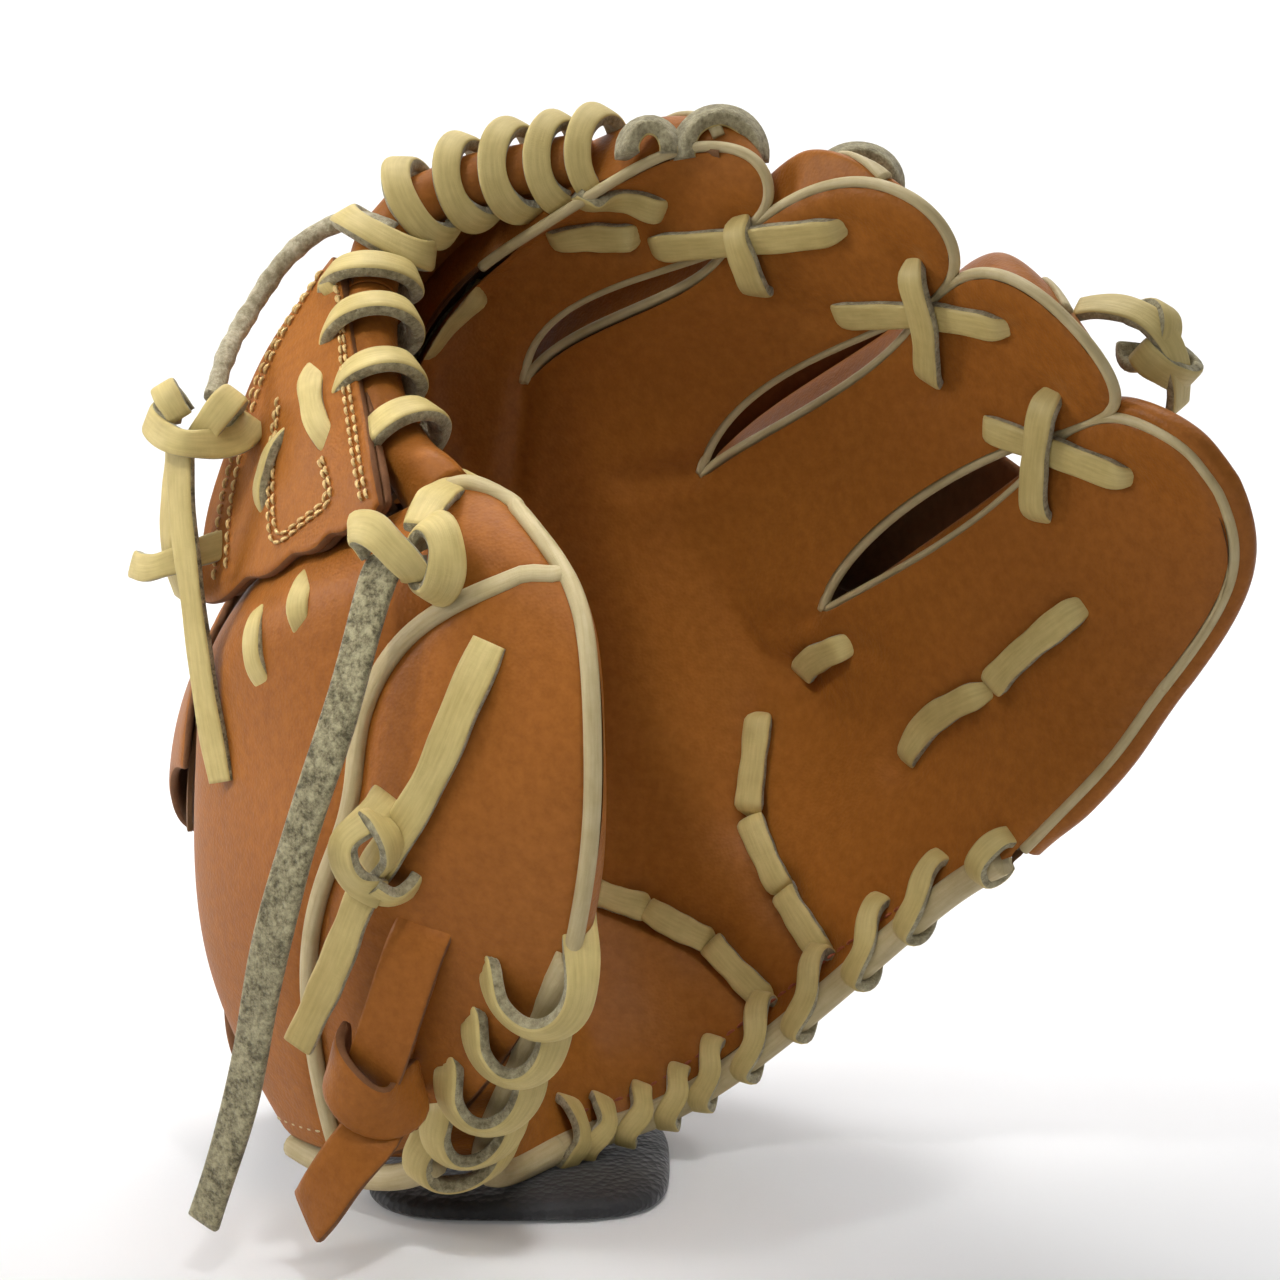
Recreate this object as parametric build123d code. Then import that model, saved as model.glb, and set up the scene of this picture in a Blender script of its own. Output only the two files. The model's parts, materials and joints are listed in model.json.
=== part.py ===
"""Left-hand infield baseball glove, about 11.25 in along the pocket, standing open on its heel.

The glove is a thick folded shell.  Its front skin (POCKET) and its back skin (BACK) are smooth
sheets drawn through eight named columns of points; every leather, felt and lining piece is a layer
at its own depth under one of the two skins.  Laces, welts and rolls are cords laid on the skins.
"""
from build123d import *
import os
import numpy as np

# ---- driving dimensions, mm -------------------------------------------------------------------
LEATHER = 2.4            # shell hide
LINING = 1.0             # soft lining hide
PAD_GAP = 0.7            # air between layers
PALM_FELT = 4.0
HEEL_FELT = 6.0
THUMB_FELT = 4.0
STIFFENER = 4.0          # plastic-and-felt board in the thumb
LACE_WIDTH = 6.4
LACE_THICK = 2.0
PIPING = 1.1             # radius of the covered cord in the seams
BINDING = 3.0            # radius of the rolled binding on the heel edge
WELT_WIDTH = 5.0
ROLL = 6.0               # radius of the rolled top edge of the web
WEB_THICK = 4.6          # two hides sewn flesh to flesh
SEAM_DROP = 3.0          # how far a stall's front rolls back to its seam
LINING_PAD = (68.0, 62.0, 5.2)      # black wrist pad: width, depth, height
LINING_PAD_PLACE = (-1.0, 14.5)     # its middle
ORIGIN_PLACE = (1.0, 28.5)          # place on the pad's underside that is the finished glove's origin

# ---- the two skins: columns from the thumb's front edge round to the little finger's edge, each
# ---- from the heel up to the tips ---------------------------------------------------------------
THUMB_EDGE = [(13, -62, 74), (18, -68, 99), (19, -71, 121), (18, -68, 137), (13, -57, 150), (-1, -36, 162)]
LITTLE_EDGE = [(103, -10, 80), (115, -20, 95), (126, -28, 109), (135, -34, 123), (144, -42, 146), (136, -46, 168)]
POCKET = [
    THUMB_EDGE,
    [(-7, -24, 15), (1, -20, 52), (-7, -15, 99), (-8, -17, 130), (-9, -17, 146), (-14, -20, 164)],
    [(9, 4, 7), (-1, 14, 44), (-21, 28, 97), (-28, 26, 139), (-24, 10, 155), (-23, -5, 163)],
    [(28, 13, 11), (13, 34, 44), (-11, 56, 105), (-25, 56, 165), (-10, 42, 198), (23, 18, 220)],
    [(47, 16, 21), (32, 40, 55), (13, 62, 113), (-1, 58, 173), (34, 30, 201), (60, 2, 223)],
    [(67, 13, 39), (57, 36, 69), (46, 52, 110), (39, 50, 153), (75, 14, 187), (92, -20, 208)],
    [(86, 4, 60), (81, 20, 81), (73, 34, 102), (66, 34, 125), (103, -6, 165), (122, -36, 179)],
    LITTLE_EDGE,
]
BACK = [
    THUMB_EDGE,
    [(-16, -30, 16), (-34, -42, 75), (-33, -42, 106), (-30, -40, 135), (-22, -40, 151), (-16, -30, 163)],
    [(-49, 0, 10), (-70, 8, 52), (-72, 12, 97), (-66, 8, 124), (-50, 0, 148), (-39, -8, 158)],
    [(-67, 42, 12), (-74, 52, 45), (-74, 60, 99), (-47, 75, 149), (-18, 66, 203), (17, 30, 230)],
    [(-44, 68, 12), (-33, 80, 49), (-33, 92, 104), (-15, 92, 180), (26, 58, 212), (51, 18, 228)],
    [(16, 76, 20), (28, 82, 61), (28, 88, 117), (38, 82, 162), (75, 42, 194), (84, 0, 216)],
    [(75, 52, 53), (80, 54, 86), (77, 58, 116), (75, 60, 132), (110, 20, 170), (119, -18, 190)],
    LITTLE_EDGE,
]
SPINE, INDEX_SIDE, LITTLE_SIDE = 2.0, 3.0, 7.0      # column numbers
CROTCH = 3.0                                        # row of the finger crotches
HEM = 0.17                                          # row where the palm leather meets its binding
FINGERS = ["index", "middle", "ring", "little"]
TIP_ROW = [5.10, 5.14, 5.20, 5.12]

# Web: its rolled top edge, its middle and its lower edge, each from the thumb tip to the index tip.
WEB_ROLL = [(-14, -26, 160), (-28, -4, 180), (-31, 16, 189), (-27, 32, 204), (-9, 44, 224), (21, 32, 228)]
WEB_MIDDLE = [(-22, -34, 158), (-39, -14, 160), (-55, 16, 156), (-58, 57, 163), (-34, 79, 183), (6, 64, 202)]
WEB_LOWER = [(-31, -38, 146), (-46, -14, 137), (-63, 20, 126), (-68, 60, 124), (-50, 86, 168), (-10, 80, 188)]


# ---- sheets -------------------------------------------------------------------------------------
def spline_weights(count, t):
    """Weights of a natural cubic spline through `count` evenly spaced points, at places t."""
    t = np.asarray(t, float).ravel()
    cell = np.clip(np.floor(t).astype(int), 0, count - 2)
    right = t - cell
    left = 1 - right
    system = np.eye(count)
    bend = np.zeros((count, count))
    for k in range(1, count - 1):
        system[k, k - 1:k + 2] = (1, 4, 1)
        bend[k, k - 1:k + 2] = (6, -12, 6)
    moment = np.linalg.solve(system, bend)
    weights = np.zeros((len(t), count))
    rows = np.arange(len(t))
    weights[rows, cell] += left
    weights[rows, cell + 1] += right
    weights += ((left**3 - left)[:, None] * moment[cell] + (right**3 - right)[:, None] * moment[cell + 1]) / 6
    return weights


class Sheet:
    """A smooth surface through a net of points; u counts columns, v counts rows."""

    def __init__(self, columns, inside):
        self.net = np.array(columns, float)
        self.inside = inside

    def at(self, u, v):
        u, v = np.broadcast_arrays(np.asarray(u, float), np.asarray(v, float))
        wu = spline_weights(self.net.shape[0], u)
        wv = spline_weights(self.net.shape[1], v)
        return np.einsum("ni,nj,ijk->nk", wu, wv, self.net).reshape(u.shape + (3,))

    def normal(self, u, v):
        """Unit normal that points into the glove's body."""
        step = 0.02
        along_u = self.at(np.add(u, step), v) - self.at(np.subtract(u, step), v)
        along_v = self.at(u, np.add(v, step)) - self.at(u, np.subtract(v, step))
        out = np.cross(along_u, along_v) * self.inside
        return out / np.linalg.norm(out, axis=-1, keepdims=True)

    def under(self, u, v, depth, stack):
        """Point at a depth under this skin; where the glove is thin, the whole stack gets thinner."""
        room = np.linalg.norm(FRONT.at(u, v) - REAR.at(u, v), axis=-1)
        depth = depth * np.minimum(1, 0.42 * room / stack)
        return self.at(u, v) + self.normal(u, v) * depth[..., None]


FRONT = Sheet(POCKET, -1.0)
REAR = Sheet(BACK, 1.0)
WEB = Sheet(list(map(list, zip(WEB_ROLL, WEB_MIDDLE, WEB_LOWER))), 1.0)


def blend(a, b, t):
    return a + (b - a) * t


def smooth(t):
    t = np.clip(t, 0, 1)
    return t * t * (3 - 2 * t)


def unit(vector):
    vector = np.asarray(vector, float)
    return vector / np.linalg.norm(vector, axis=-1, keepdims=True)


# ---- solids from polynomial patches ----------------------------------------------------------
def nodes(degree):
    return (1 - np.cos(np.pi * np.arange(degree + 1) / degree)) / 2


def to_poles(samples, axis):
    """Bezier poles of the polynomial through samples taken at nodes() along one axis."""
    degree = samples.shape[axis] - 1
    t = nodes(degree)
    choose = np.array([1.0])
    for _ in range(degree):
        choose = np.convolve(choose, [1.0, 1.0])
    k = np.arange(degree + 1)
    basis = choose * t[:, None]**k * (1 - t[:, None])**(degree - k)
    return np.moveaxis(np.tensordot(np.linalg.inv(basis), samples, (1, axis)), 0, axis)


def patch(poles):
    return Face.make_bezier_surface([[Vector(*p) for p in row] for row in poles])


def closed(faces):
    """One solid from faces that share their edges."""
    solid = Solid(Shell(faces))
    if solid.volume < 0:
        solid = Solid(Shell([-face for face in faces]))
    return solid


def slab(skin, cells_a=2, cells_b=2):
    """Solid between skin(a, b, 0) and skin(a, b, 1), with a and b from 0 to 1, in smooth cells."""
    faces = []
    for i in range(cells_a):
        for j in range(cells_b):
            a, b = np.meshgrid((i + nodes(DEGREE)) / cells_a, (j + nodes(DEGREE)) / cells_b, indexing="ij")
            low, high = (to_poles(to_poles(skin(a, b, side), 0), 1) for side in (0, 1))
            faces += [patch(low), patch(high)]
            rims = [(i == 0, low[0], high[0]), (i == cells_a - 1, low[-1], high[-1]),
                    (j == 0, low[:, 0], high[:, 0]), (j == cells_b - 1, low[:, -1], high[:, -1])]
            faces += [patch((lower, upper)) for outer, lower, upper in rims if outer]
    return closed(faces)


DEGREE = 5         # of a slab's patches
ARC = 0.5523       # handle of a round quarter
SQUARE = 0.86      # handle of a nearly rectangular quarter


def ring(half_width, half_thick, handle):
    """Poles of the four quarters of a cord's section, as (across, up) pairs."""
    corner = [(1, 0), (1, handle), (handle, 1), (0, 1)]
    quarters = []
    for turn in range(4):
        c, s = [(1, 0), (0, 1), (-1, 0), (0, -1)][turn]
        quarters.append([((x * c - y * s) * half_width, (x * s + y * c) * half_thick) for x, y in corner])
    return quarters


def cap(quarters):
    """Flat four-sided patch that closes a cord's end; quarters is four rows of four poles."""
    grid = np.zeros((4, 4, 3))
    grid[0], grid[:, 3], grid[3], grid[:, 0] = quarters[0], quarters[1], quarters[2][::-1], quarters[3][::-1]
    for i in (1, 2):
        for j in (1, 2):
            s, t = i / 3, j / 3
            grid[i, j] = (blend(grid[0, j], grid[3, j], s) + blend(grid[i, 0], grid[i, 3], t)
                          - blend(blend(grid[0, 0], grid[0, 3], t), blend(grid[3, 0], grid[3, 3], t), s))
    return patch(grid)


def cord(path, up, width, thick, pieces=1, handle=SQUARE, degree=6):
    """Solid swept along path(t); up(t) is the direction of its thickness."""
    quarters = ring(width / 2, thick / 2, handle)
    faces = []
    for piece in range(pieces):
        t = (piece + nodes(degree)) / pieces
        centre = path(t)
        step = 1e-3
        forward = unit(path(np.minimum(t + step, 1)) - path(np.maximum(t - step, 0)))
        across = unit(np.cross(forward, up(t)))
        high = np.cross(across, forward)
        walls = []
        for quarter in quarters:
            rows = np.array([centre + across * x + high * y for x, y in quarter])
            walls.append(to_poles(rows, 1))
        faces += [patch(wall) for wall in walls]
        if piece == 0:
            faces.append(cap([wall[:, 0] for wall in walls]))
        if piece == pieces - 1:
            faces.append(cap([wall[:, -1] for wall in walls]))
    return closed(faces)


def through(points):
    """Smooth path through a few points."""
    points = np.array(points, float)
    return lambda t: spline_weights(len(points), np.asarray(t) * (len(points) - 1)) @ points


def steady(direction):
    direction = unit(direction)
    return lambda t: np.broadcast_to(direction, (len(t), 3))


def band(points, up, width=LACE_WIDTH, thick=LACE_THICK, pieces=None, handle=SQUARE):
    """Flat lace or strap through points, its face towards up."""
    return cord(through(points), steady(up), width, thick, pieces or max(1, len(points) - 1), handle, 5)


def stitch(sheet, start, finish, rise=2.2, sink=3.0, width=LACE_WIDTH, thick=LACE_THICK):
    """One visible length of lace on a skin: up out of a hole, along, and down into the next."""
    (u0, v0), (u1, v1) = start, finish
    shares = [0.0, 0.18, 0.5, 0.82, 1.0]
    heights = [-sink, rise * 0.75, rise, rise * 0.75, -sink]
    points = [sheet.at(blend(u0, u1, s), blend(v0, v1, s)) - sheet.normal(blend(u0, u1, s), blend(v0, v1, s)) * h
              for s, h in zip(shares, heights)]
    return band(points, -sheet.normal((u0 + u1) / 2, (v0 + v1) / 2), width, thick, pieces=4)


def loop(centre, first, second, start=0.0, stop=360.0, width=LACE_WIDTH, thick=LACE_THICK, pieces=6, shift=None,
         tuck=1.0):
    """Lace bent round a centre: first and second are the bend's two radii; tuck shortens the far end."""
    centre, first, second = np.array(centre), np.array(first), np.array(second)
    shift = np.zeros(3) if shift is None else np.array(shift)

    def radius(t):
        angle = np.radians(blend(start, stop, np.asarray(t)))[:, None]
        reach = np.cos(angle)
        return reach * np.where(reach < 0, tuck, 1.0) * first + np.sin(angle) * second

    return cord(lambda t: centre + radius(t) + np.asarray(t)[:, None] * shift, lambda t: unit(radius(t)),
                width, thick, pieces)


def knot(centre, along, out, size=7.5):
    """Overhand knot: two crossed turns of lace."""
    along, out = unit(along), unit(out)
    side = np.cross(along, out)
    turn = loop(centre, out * size, unit(side + along * 0.4) * size, 10, 340)
    cross = loop(np.array(centre) + along * 1.0, out * (size - 2.6), unit(along - side * 0.4) * (size + 1.5), 20, 330)
    return [turn, cross]


# ---- stalls (finger tubes) ----------------------------------------------------------------------
def slit(s):
    """Half the gap beside a stall, in columns: on its right side and on its left side."""
    eye = np.sin(np.clip(s / 0.62, 0, 1) * np.pi)
    return 0.08 + 0.06 * eye, 0.08 - 0.01 * eye


def stall_place(k, a, b):
    """Column and row of a place on stall k: a across from 0 to 1, b along from crotch to tip."""
    s = np.sin(b * np.pi / 2 * 0.985)
    right_gap, left_gap = slit(s)
    left = 3 + k + (left_gap if k > 0 else 0.04)
    right = 4 + k - (right_gap if k < 3 else 0.02)
    shoulder = np.clip((s - 0.70) / 0.30, 0, 1)
    fullness = (1 - shoulder**2.4)**(1 / 2.2)
    u = (left + right) / 2 + (right - left) / 2 * fullness * (2 * a - 1)
    return u, stall_base(u) + (TIP_ROW[k] - stall_base(u)) * s


def stall_base(u):
    return CROTCH + 0.12 + 0.72 * smooth((u - 6.1) / 0.55)


def palm_top(u):
    return CROTCH - 0.08 + 0.66 * smooth((u - 6.1) / 0.55)


def stall_front(k, a, b, depth):
    u, v = stall_place(k, a, b)
    drop = SEAM_DROP * (2 * a - 1)**4
    return FRONT.at(u, v) + FRONT.normal(u, v) * (depth + drop)[..., None]


def stall_back(k, a, b, inset):
    """Place on the rounded back of stall k; a runs from its left seam over the back to its right."""
    b = np.asarray(b, float)
    left = stall_front(k, np.zeros_like(b), b, np.full_like(b, LEATHER + 0.3))
    right = stall_front(k, np.ones_like(b), b, np.full_like(b, LEATHER + 0.3))
    u, v = stall_place(k, np.full_like(b, 0.5), b)
    middle = (left + right) / 2
    half = (right - left) / 2
    deep = REAR.at(u, v) - middle
    deep = deep * (1 - 0.75 * np.clip((b - 0.72) / 0.28, 0, 1)**2.4)[..., None]
    half = half * (1 - (inset + 0.2) / np.linalg.norm(half, axis=-1).clip(inset + 0.6))[..., None]
    deep = deep * (1 - inset / np.linalg.norm(deep, axis=-1).clip(inset + 0.6))[..., None]
    angle = np.pi * np.asarray(a)
    across = -np.sign(np.cos(angle)) * np.abs(np.cos(angle))**0.8 * (1 - 0.10 * np.sin(angle))
    return middle + half * across[..., None] + deep * (np.sin(angle)**0.8)[..., None]


def stall_parts(k):
    name = FINGERS[k]
    front = slab(lambda a, b, side: stall_front(k, a, b, side * LEATHER + 0 * a), 2, 4)
    back = slab(lambda a, b, side: stall_back(k, 0.02 + 0.96 * a, b, side * LEATHER + 0 * a), 4, 4)
    lining = slab(lambda a, b, side: stall_back(k, 0.16 + 0.68 * a, 0.8 * b, 5.0 + side * LINING + 0 * a), 4, 3)
    piping = cord(lambda t: seam_line(k, t), lambda t: seam_up(k, t), 2 * PIPING, 2 * PIPING, 10, ARC, 6)
    return {name + "_front": front, name + "_back": back, name + "_lining": lining, name + "_piping": piping}


def seam_place(k, t):
    """The seam of stall k, as one run: up its left side, round the tip and down its right side."""
    b = 0.02 + 0.96 * (1 - np.abs(2 * t - 1))
    return stall_front(k, smooth((t - 0.5) / 0.10 + 0.5), b, 0.5 * LEATHER + 0 * b)


def seam_line(k, t):
    """Path of the piping, just outside the seam."""
    near_end = np.clip(t, 0.002, 0.998)
    forward = unit(seam_place(k, near_end + 0.002) - seam_place(k, near_end - 0.002))
    return seam_place(k, t) + unit(np.cross(forward, -seam_up(k, t))) * (PIPING + 0.35)


def seam_up(k, t):
    u, v = stall_place(k, np.full_like(t, 0.5), 0.97 * (1 - np.abs(2 * t - 1)))
    return -FRONT.normal(u, v)


def stall_pads():
    """Felt strip behind each stall's front, one per finger."""
    return [slab(lambda a, b, side, k=k: stall_front(k, 0.27 + 0.46 * a, 0.05 + 0.66 * b, 3.4 + 1.8 * side + 0 * a), 2, 3)
            for k in range(4)]


def stall_welts():
    """Cream strip down the middle of each stall's back."""
    def strip(k):
        return slab(lambda a, b, side: stall_back(k, 0.45 + 0.1 * a, 0.05 + 0.86 * b, -1.0 - 1.2 * side + 0 * a), 2, 4)
    return [strip(k) for k in range(4)]


# ---- palm ---------------------------------------------------------------------------------------
def region(sheet, u0, u1, v0, v1, near, far, stack=LEATHER + 0.4):
    """Layer between two depths under a skin; v0 and v1 may be numbers or functions of u."""
    def skin(a, b, side):
        u = blend(u0, u1, a)
        low = v0(u) if callable(v0) else v0
        high = v1(u) if callable(v1) else v1
        return sheet.under(u, blend(low, high, b), blend(near, far, side) + 0 * a, stack)
    return slab(skin, max(2, round((u1 - u0) * 1.6)), 3)


def palm_parts():
    felt = LEATHER + PAD_GAP
    lining = felt + HEEL_FELT + PAD_GAP
    stack = lining + LINING
    return {
        "palm_shell": region(FRONT, SPINE + 0.03, 6.94, HEM, palm_top, 0, LEATHER),
        "palm_pad": region(FRONT, 2.35, 6.1, 1.3, 2.75, felt, felt + PALM_FELT, stack),
        "heel_pads": [region(FRONT, 2.45, 4.05, 0.22, 1.15, felt, felt + HEEL_FELT, stack),
                      region(FRONT, 4.3, 5.9, 0.22, 1.15, felt, felt + HEEL_FELT, stack)],
        "palm_lining": region(FRONT, 2.25, 6.1, 0.2, 2.8, lining, lining + LINING, stack),
    }


def back_parts():
    """Open back: a knuckle panel, a side panel by the little finger and their lining."""
    near = LEATHER + 0.8
    return {
        "back_panel": region(REAR, 2.16, 6.7, 1.45, 2.9, 0, LEATHER),
        "back_lining": region(REAR, 2.35, 6.2, 1.55, 2.8, near, near + LINING, 5),
        "back_side_panel": region(REAR, 6.05, 6.7, 0.75, 1.38, 0, LEATHER),
        "back_welt": slab_welt(REAR, lambda t: blend(2.3, 6.6, t), lambda t: 1.55 + 0 * t, 4),
    }


def slab_welt(sheet, column, row, pieces):
    """Half-round strip lying on a skin along column(t), row(t)."""
    def path(t):
        return sheet.at(column(t), row(t)) - sheet.normal(column(t), row(t)) * 1.4
    return cord(path, lambda t: -sheet.normal(column(t), row(t)), WELT_WIDTH, 2.2, pieces, ARC, 7)


def wrist_parts():
    width, depth, height = LINING_PAD
    pad = Pos(*LINING_PAD_PLACE, height / 2) * Box(width, depth, height)
    pad = fillet(pad.edges().filter_by(Axis.Z), 26)
    pad = fillet(pad.edges().group_by(Axis.Z)[-1], 2)
    strap = region(REAR, 2.2, 6.35, 0.06, 0.58, 0, 3.2, 4)
    lining = region(REAR, 2.5, 6.0, 0.1, 0.54, 3.8, 6.3, 7)
    return {"wrist_lining_pad": pad.solid(), "wrist_strap": strap, "wrist_strap_lining": lining}


HEEL_LOOPS = [2.25, 2.56, 3.08, 3.56, 3.95, 4.53, 5.13, 5.78, 6.32, 6.7]


def heel_binding():
    """Rolled hide on the palm's lower edge."""
    def path(t):
        u = blend(SPINE + 0.12, 6.9, t)
        return FRONT.at(u, 0 * u) + FRONT.normal(u, 0 * u) * 1.2 + heel_up(u) * BINDING
    return cord(path, lambda t: FRONT.normal(blend(SPINE, 6.9, t), 0 * t), 2 * BINDING, 2 * BINDING, 5, ARC, 6)


def heel_up(u):
    """Direction in the palm, square to its lower edge."""
    along = unit(FRONT.at(np.add(u, 0.02), 0 * np.asarray(u)) - FRONT.at(u, 0 * np.asarray(u)))
    return unit(np.cross(-FRONT.normal(u, 0 * np.asarray(u)), along))


def heel_loops():
    """Lace over the binding: from a hole in the palm round the edge to the inside."""
    loops = []
    for u in HEEL_LOOPS:
        up, inward = heel_up(u), FRONT.normal(u, 0.0)
        centre = FRONT.at(u, 0.0) + inward * 1.2 + up * BINDING
        loops.append(loop(centre, up * 9.0, -inward * (BINDING + 1.8), -8, 205, pieces=4, width=5.4, tuck=0.55))
    return loops


def stitch_rows():
    thumb_row = [(3.35, 1.21), (3.80, 1.04), (3.84, 1.02), (4.23, 0.78), (4.27, 0.74), (4.53, 0.38)]
    little_row = [(5.15, 1.76), (4.85, 1.28), (4.85, 1.22), (4.94, 0.86), (4.96, 0.80), (5.11, 0.42)]
    edge_row = [(6.17, 1.49), (6.58, 2.60), (6.60, 2.66), (6.66, 3.36)]

    def row(places):
        return [stitch(FRONT, places[i], places[i + 1]) for i in range(0, len(places), 2)]
    return {"palm_lace_thumb_row": row(thumb_row), "palm_lace_little_row": row(little_row),
            "little_edge_lace": row(edge_row), "crotch_lace": row([(5.86, 2.32), (6.14, 2.72)])}


# ---- thumb --------------------------------------------------------------------------------------
def welt_column(v):
    """Column of the welt that splits the thumb's outside, from its heel up to the front edge."""
    places = np.array([1.62, 1.24, 0.97, 0.94, 0.68, 0.20])
    return spline_weights(6, np.clip(np.asarray(v, float), 0, 4) / 4 * 5).dot(places).reshape(np.shape(v))


def thumb_parts():
    end = SPINE - 0.06

    def outside(low, high, top):
        """Panel between two edges, each a column or a side of the welt."""
        def skin(a, b, side):
            v = blend(0.14, top, b)
            return REAR.under(blend(low(v), high(v), a), v, side * LEATHER + 0 * a, LEATHER + 0.4)
        return slab(skin, 2, 5)

    felt = LEATHER + PAD_GAP
    lining = felt + THUMB_FELT + PAD_GAP
    board = LEATHER + 0.9
    return {
        "thumb_front": region(FRONT, 0.14, end, 0.14, 4.85, 0, LEATHER),
        "thumb_outer_panel": outside(lambda v: 0.24 + 0 * v, lambda v: welt_column(v) - 0.05, 3.7),
        "thumb_back_panel": outside(lambda v: welt_column(v) + 0.05, lambda v: end - 0.06 + 0 * v, 4.0),
        "thumb_tip_panel": region(REAR, 0.30, end - 0.3, 4.1, 4.8, 0, LEATHER),
        "thumb_pad": region(FRONT, 0.85, 1.7, 0.4, 3.3, felt, felt + THUMB_FELT, 9),
        "thumb_lining": region(FRONT, 0.9, 1.7, 0.5, 3.3, lining, lining + LINING, 9),
        "thumb_stiffener": region(REAR, 0.85, 1.7, 0.4, 3.4, board, board + STIFFENER, 9),
    }


def thumb_trim():
    def edge(t):
        v = blend(0.35, 4.7, t)
        u = 0.12 + 0 * v
        return REAR.at(u, v) - REAR.normal(u, v) * (PIPING + 0.5)

    def bound(t):
        u = blend(1.0, 1.9, t)
        up = unit(REAR.at(u, 0.1 + 0 * u) - REAR.at(u, 0 * u))
        return REAR.at(u, 0 * u) + REAR.normal(u, 0 * u) * 1.2 + up * BINDING

    piping = cord(edge, lambda t: -REAR.normal(0.12 + 0 * t, blend(0.35, 4.7, t)), 2 * PIPING, 2 * PIPING, 5, ARC, 6)
    welt = slab_welt(REAR, lambda t: welt_column(blend(0.15, 3.9, t)), lambda t: blend(0.15, 3.9, t), 5)
    binding = cord(bound, lambda t: REAR.normal(blend(1.0, 1.9, t), 0 * t), 2 * BINDING, 2 * BINDING, 3, ARC, 6)
    return {"thumb_piping": piping, "thumb_welt": welt, "thumb_binding": binding}


def thumb_ladder():
    """Wide turns of lace round the thumb's lower front edge."""
    loops = []
    for share in np.linspace(0, 1, 5):
        hole = REAR.at(blend(0.47, 0.90, share), blend(0.62, 0.16, share))
        far = FRONT.at(blend(0.22, 0.80, share), blend(0.42, 0.10, share))
        middle = (hole + far) / 2
        reach = (far - hole) / 2
        front = unit(np.cross(reach, (0.1, 0.1, 1.0)))
        front = front if front[1] < 0 else -front
        loops.append(loop(middle, -unit(reach) * (np.linalg.norm(reach) + 1), front * 9, -10, 190, pieces=4))
    return loops


def on_thumb(u, v, lift):
    return REAR.at(u, v) - REAR.normal(u, v) * lift


def thumb_laces():
    """Knotted tie on the thumb's outside, and the folded loop strap under it."""
    place = on_thumb(0.80, 1.50, 6.5)
    up = on_thumb(0.45, 2.75, 9.0)
    mid = on_thumb(0.62, 2.15, 5.5)
    down = on_thumb(1.02, 0.98, 5.0)
    out = -REAR.normal(0.8, 1.5)
    tie = knot(place, up - place, out, 6.5)
    tie.append(band([place + unit(up - place) * 9, mid + out * 3, up], out, pieces=3))
    tie.append(band([place - unit(place - down) * 9, down, on_thumb(1.30, 0.62, 4.0)], out, pieces=2))
    fold = on_thumb(1.08, 0.42, 6.0)
    strap = band([on_thumb(0.74, 1.02, 4.6), on_thumb(0.90, 0.78, 5.6), on_thumb(1.02, 0.55, 6.2), fold], out, 13, 2.6)
    tab = band([fold + out * 4 - (0, 0, 8), fold + out * 5 - (6, 0, 16), fold + out * 5 - (16, 0, 29)], out, 14, 2.6)
    wrap = loop(fold + out * 3.0 - (0, 0, 2), out * 6.5, np.array((0.3, 0, 1.0)) * 5.5, 15, 345, 12, 2.4)
    return {"thumb_tie_lace": tie, "thumb_loop": [strap, tab, wrap]}


# ---- web ----------------------------------------------------------------------------------------
WEB_SPAN = {"thumb": ((0.15, 0.49), (0.26, 0.49), 1.55), "finger": ((0.51, 0.80), (0.51, 0.66), 1.75)}
ROLL_SPAN = {"thumb": (0.10, 0.462), "finger": (0.530, 0.826)}
SPIRAL_TURNS = {"thumb": 5, "finger": 6}
ROLL_STEPS = len(WEB_ROLL) - 1


def web_panel(half):
    """Two-ply panel under the roll; each side edge slants from its top share to its bottom share."""
    top, bottom, last_row = WEB_SPAN[half]

    def skin(a, b, side):
        u = blend(blend(top[0], bottom[0], b), blend(top[1], bottom[1], b), a) * ROLL_STEPS
        v = blend(0.32, last_row, b)
        return WEB.at(u, v) + WEB.normal(u, v) * ((side - 0.5) * WEB_THICK + 0 * a)[..., None]
    return slab(skin, 3, 2)


def roll_at(share):
    return WEB.at(np.asarray(share) * ROLL_STEPS, 0 * np.asarray(share))


def roll_frame(share):
    """Unit vectors at the roll: along it, down into the web, and square to both."""
    along = unit(roll_at(np.add(share, 0.004)) - roll_at(np.subtract(share, 0.004)))
    down = WEB.at(np.asarray(share) * ROLL_STEPS, 0.4 + 0 * np.asarray(share)) - roll_at(share)
    down = unit(down - along * np.sum(down * along, axis=-1, keepdims=True))
    return along, down, np.cross(along, down)


def web_roll(half):
    start, stop = ROLL_SPAN[half]
    return cord(lambda t: roll_at(blend(start, stop, t)), lambda t: roll_frame(blend(start, stop, t))[1],
                2 * ROLL, 2 * ROLL, 4, ARC, 6)


def web_spiral(half):
    """Lace wound round the roll, one turn after another."""
    start, stop = ROLL_SPAN[half]
    turns = SPIRAL_TURNS[half]
    wound = []
    for turn in range(turns):
        share = blend(start, stop, (turn + 0.5) / turns)
        along, down, out = roll_frame(share)
        pitch = along * 3.0
        wound.append(loop(roll_at(share) - pitch / 2, down * (ROLL + 1.6), out * (ROLL + 1.6),
                          8, 352, pieces=6, shift=pitch))
    return wound


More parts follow.
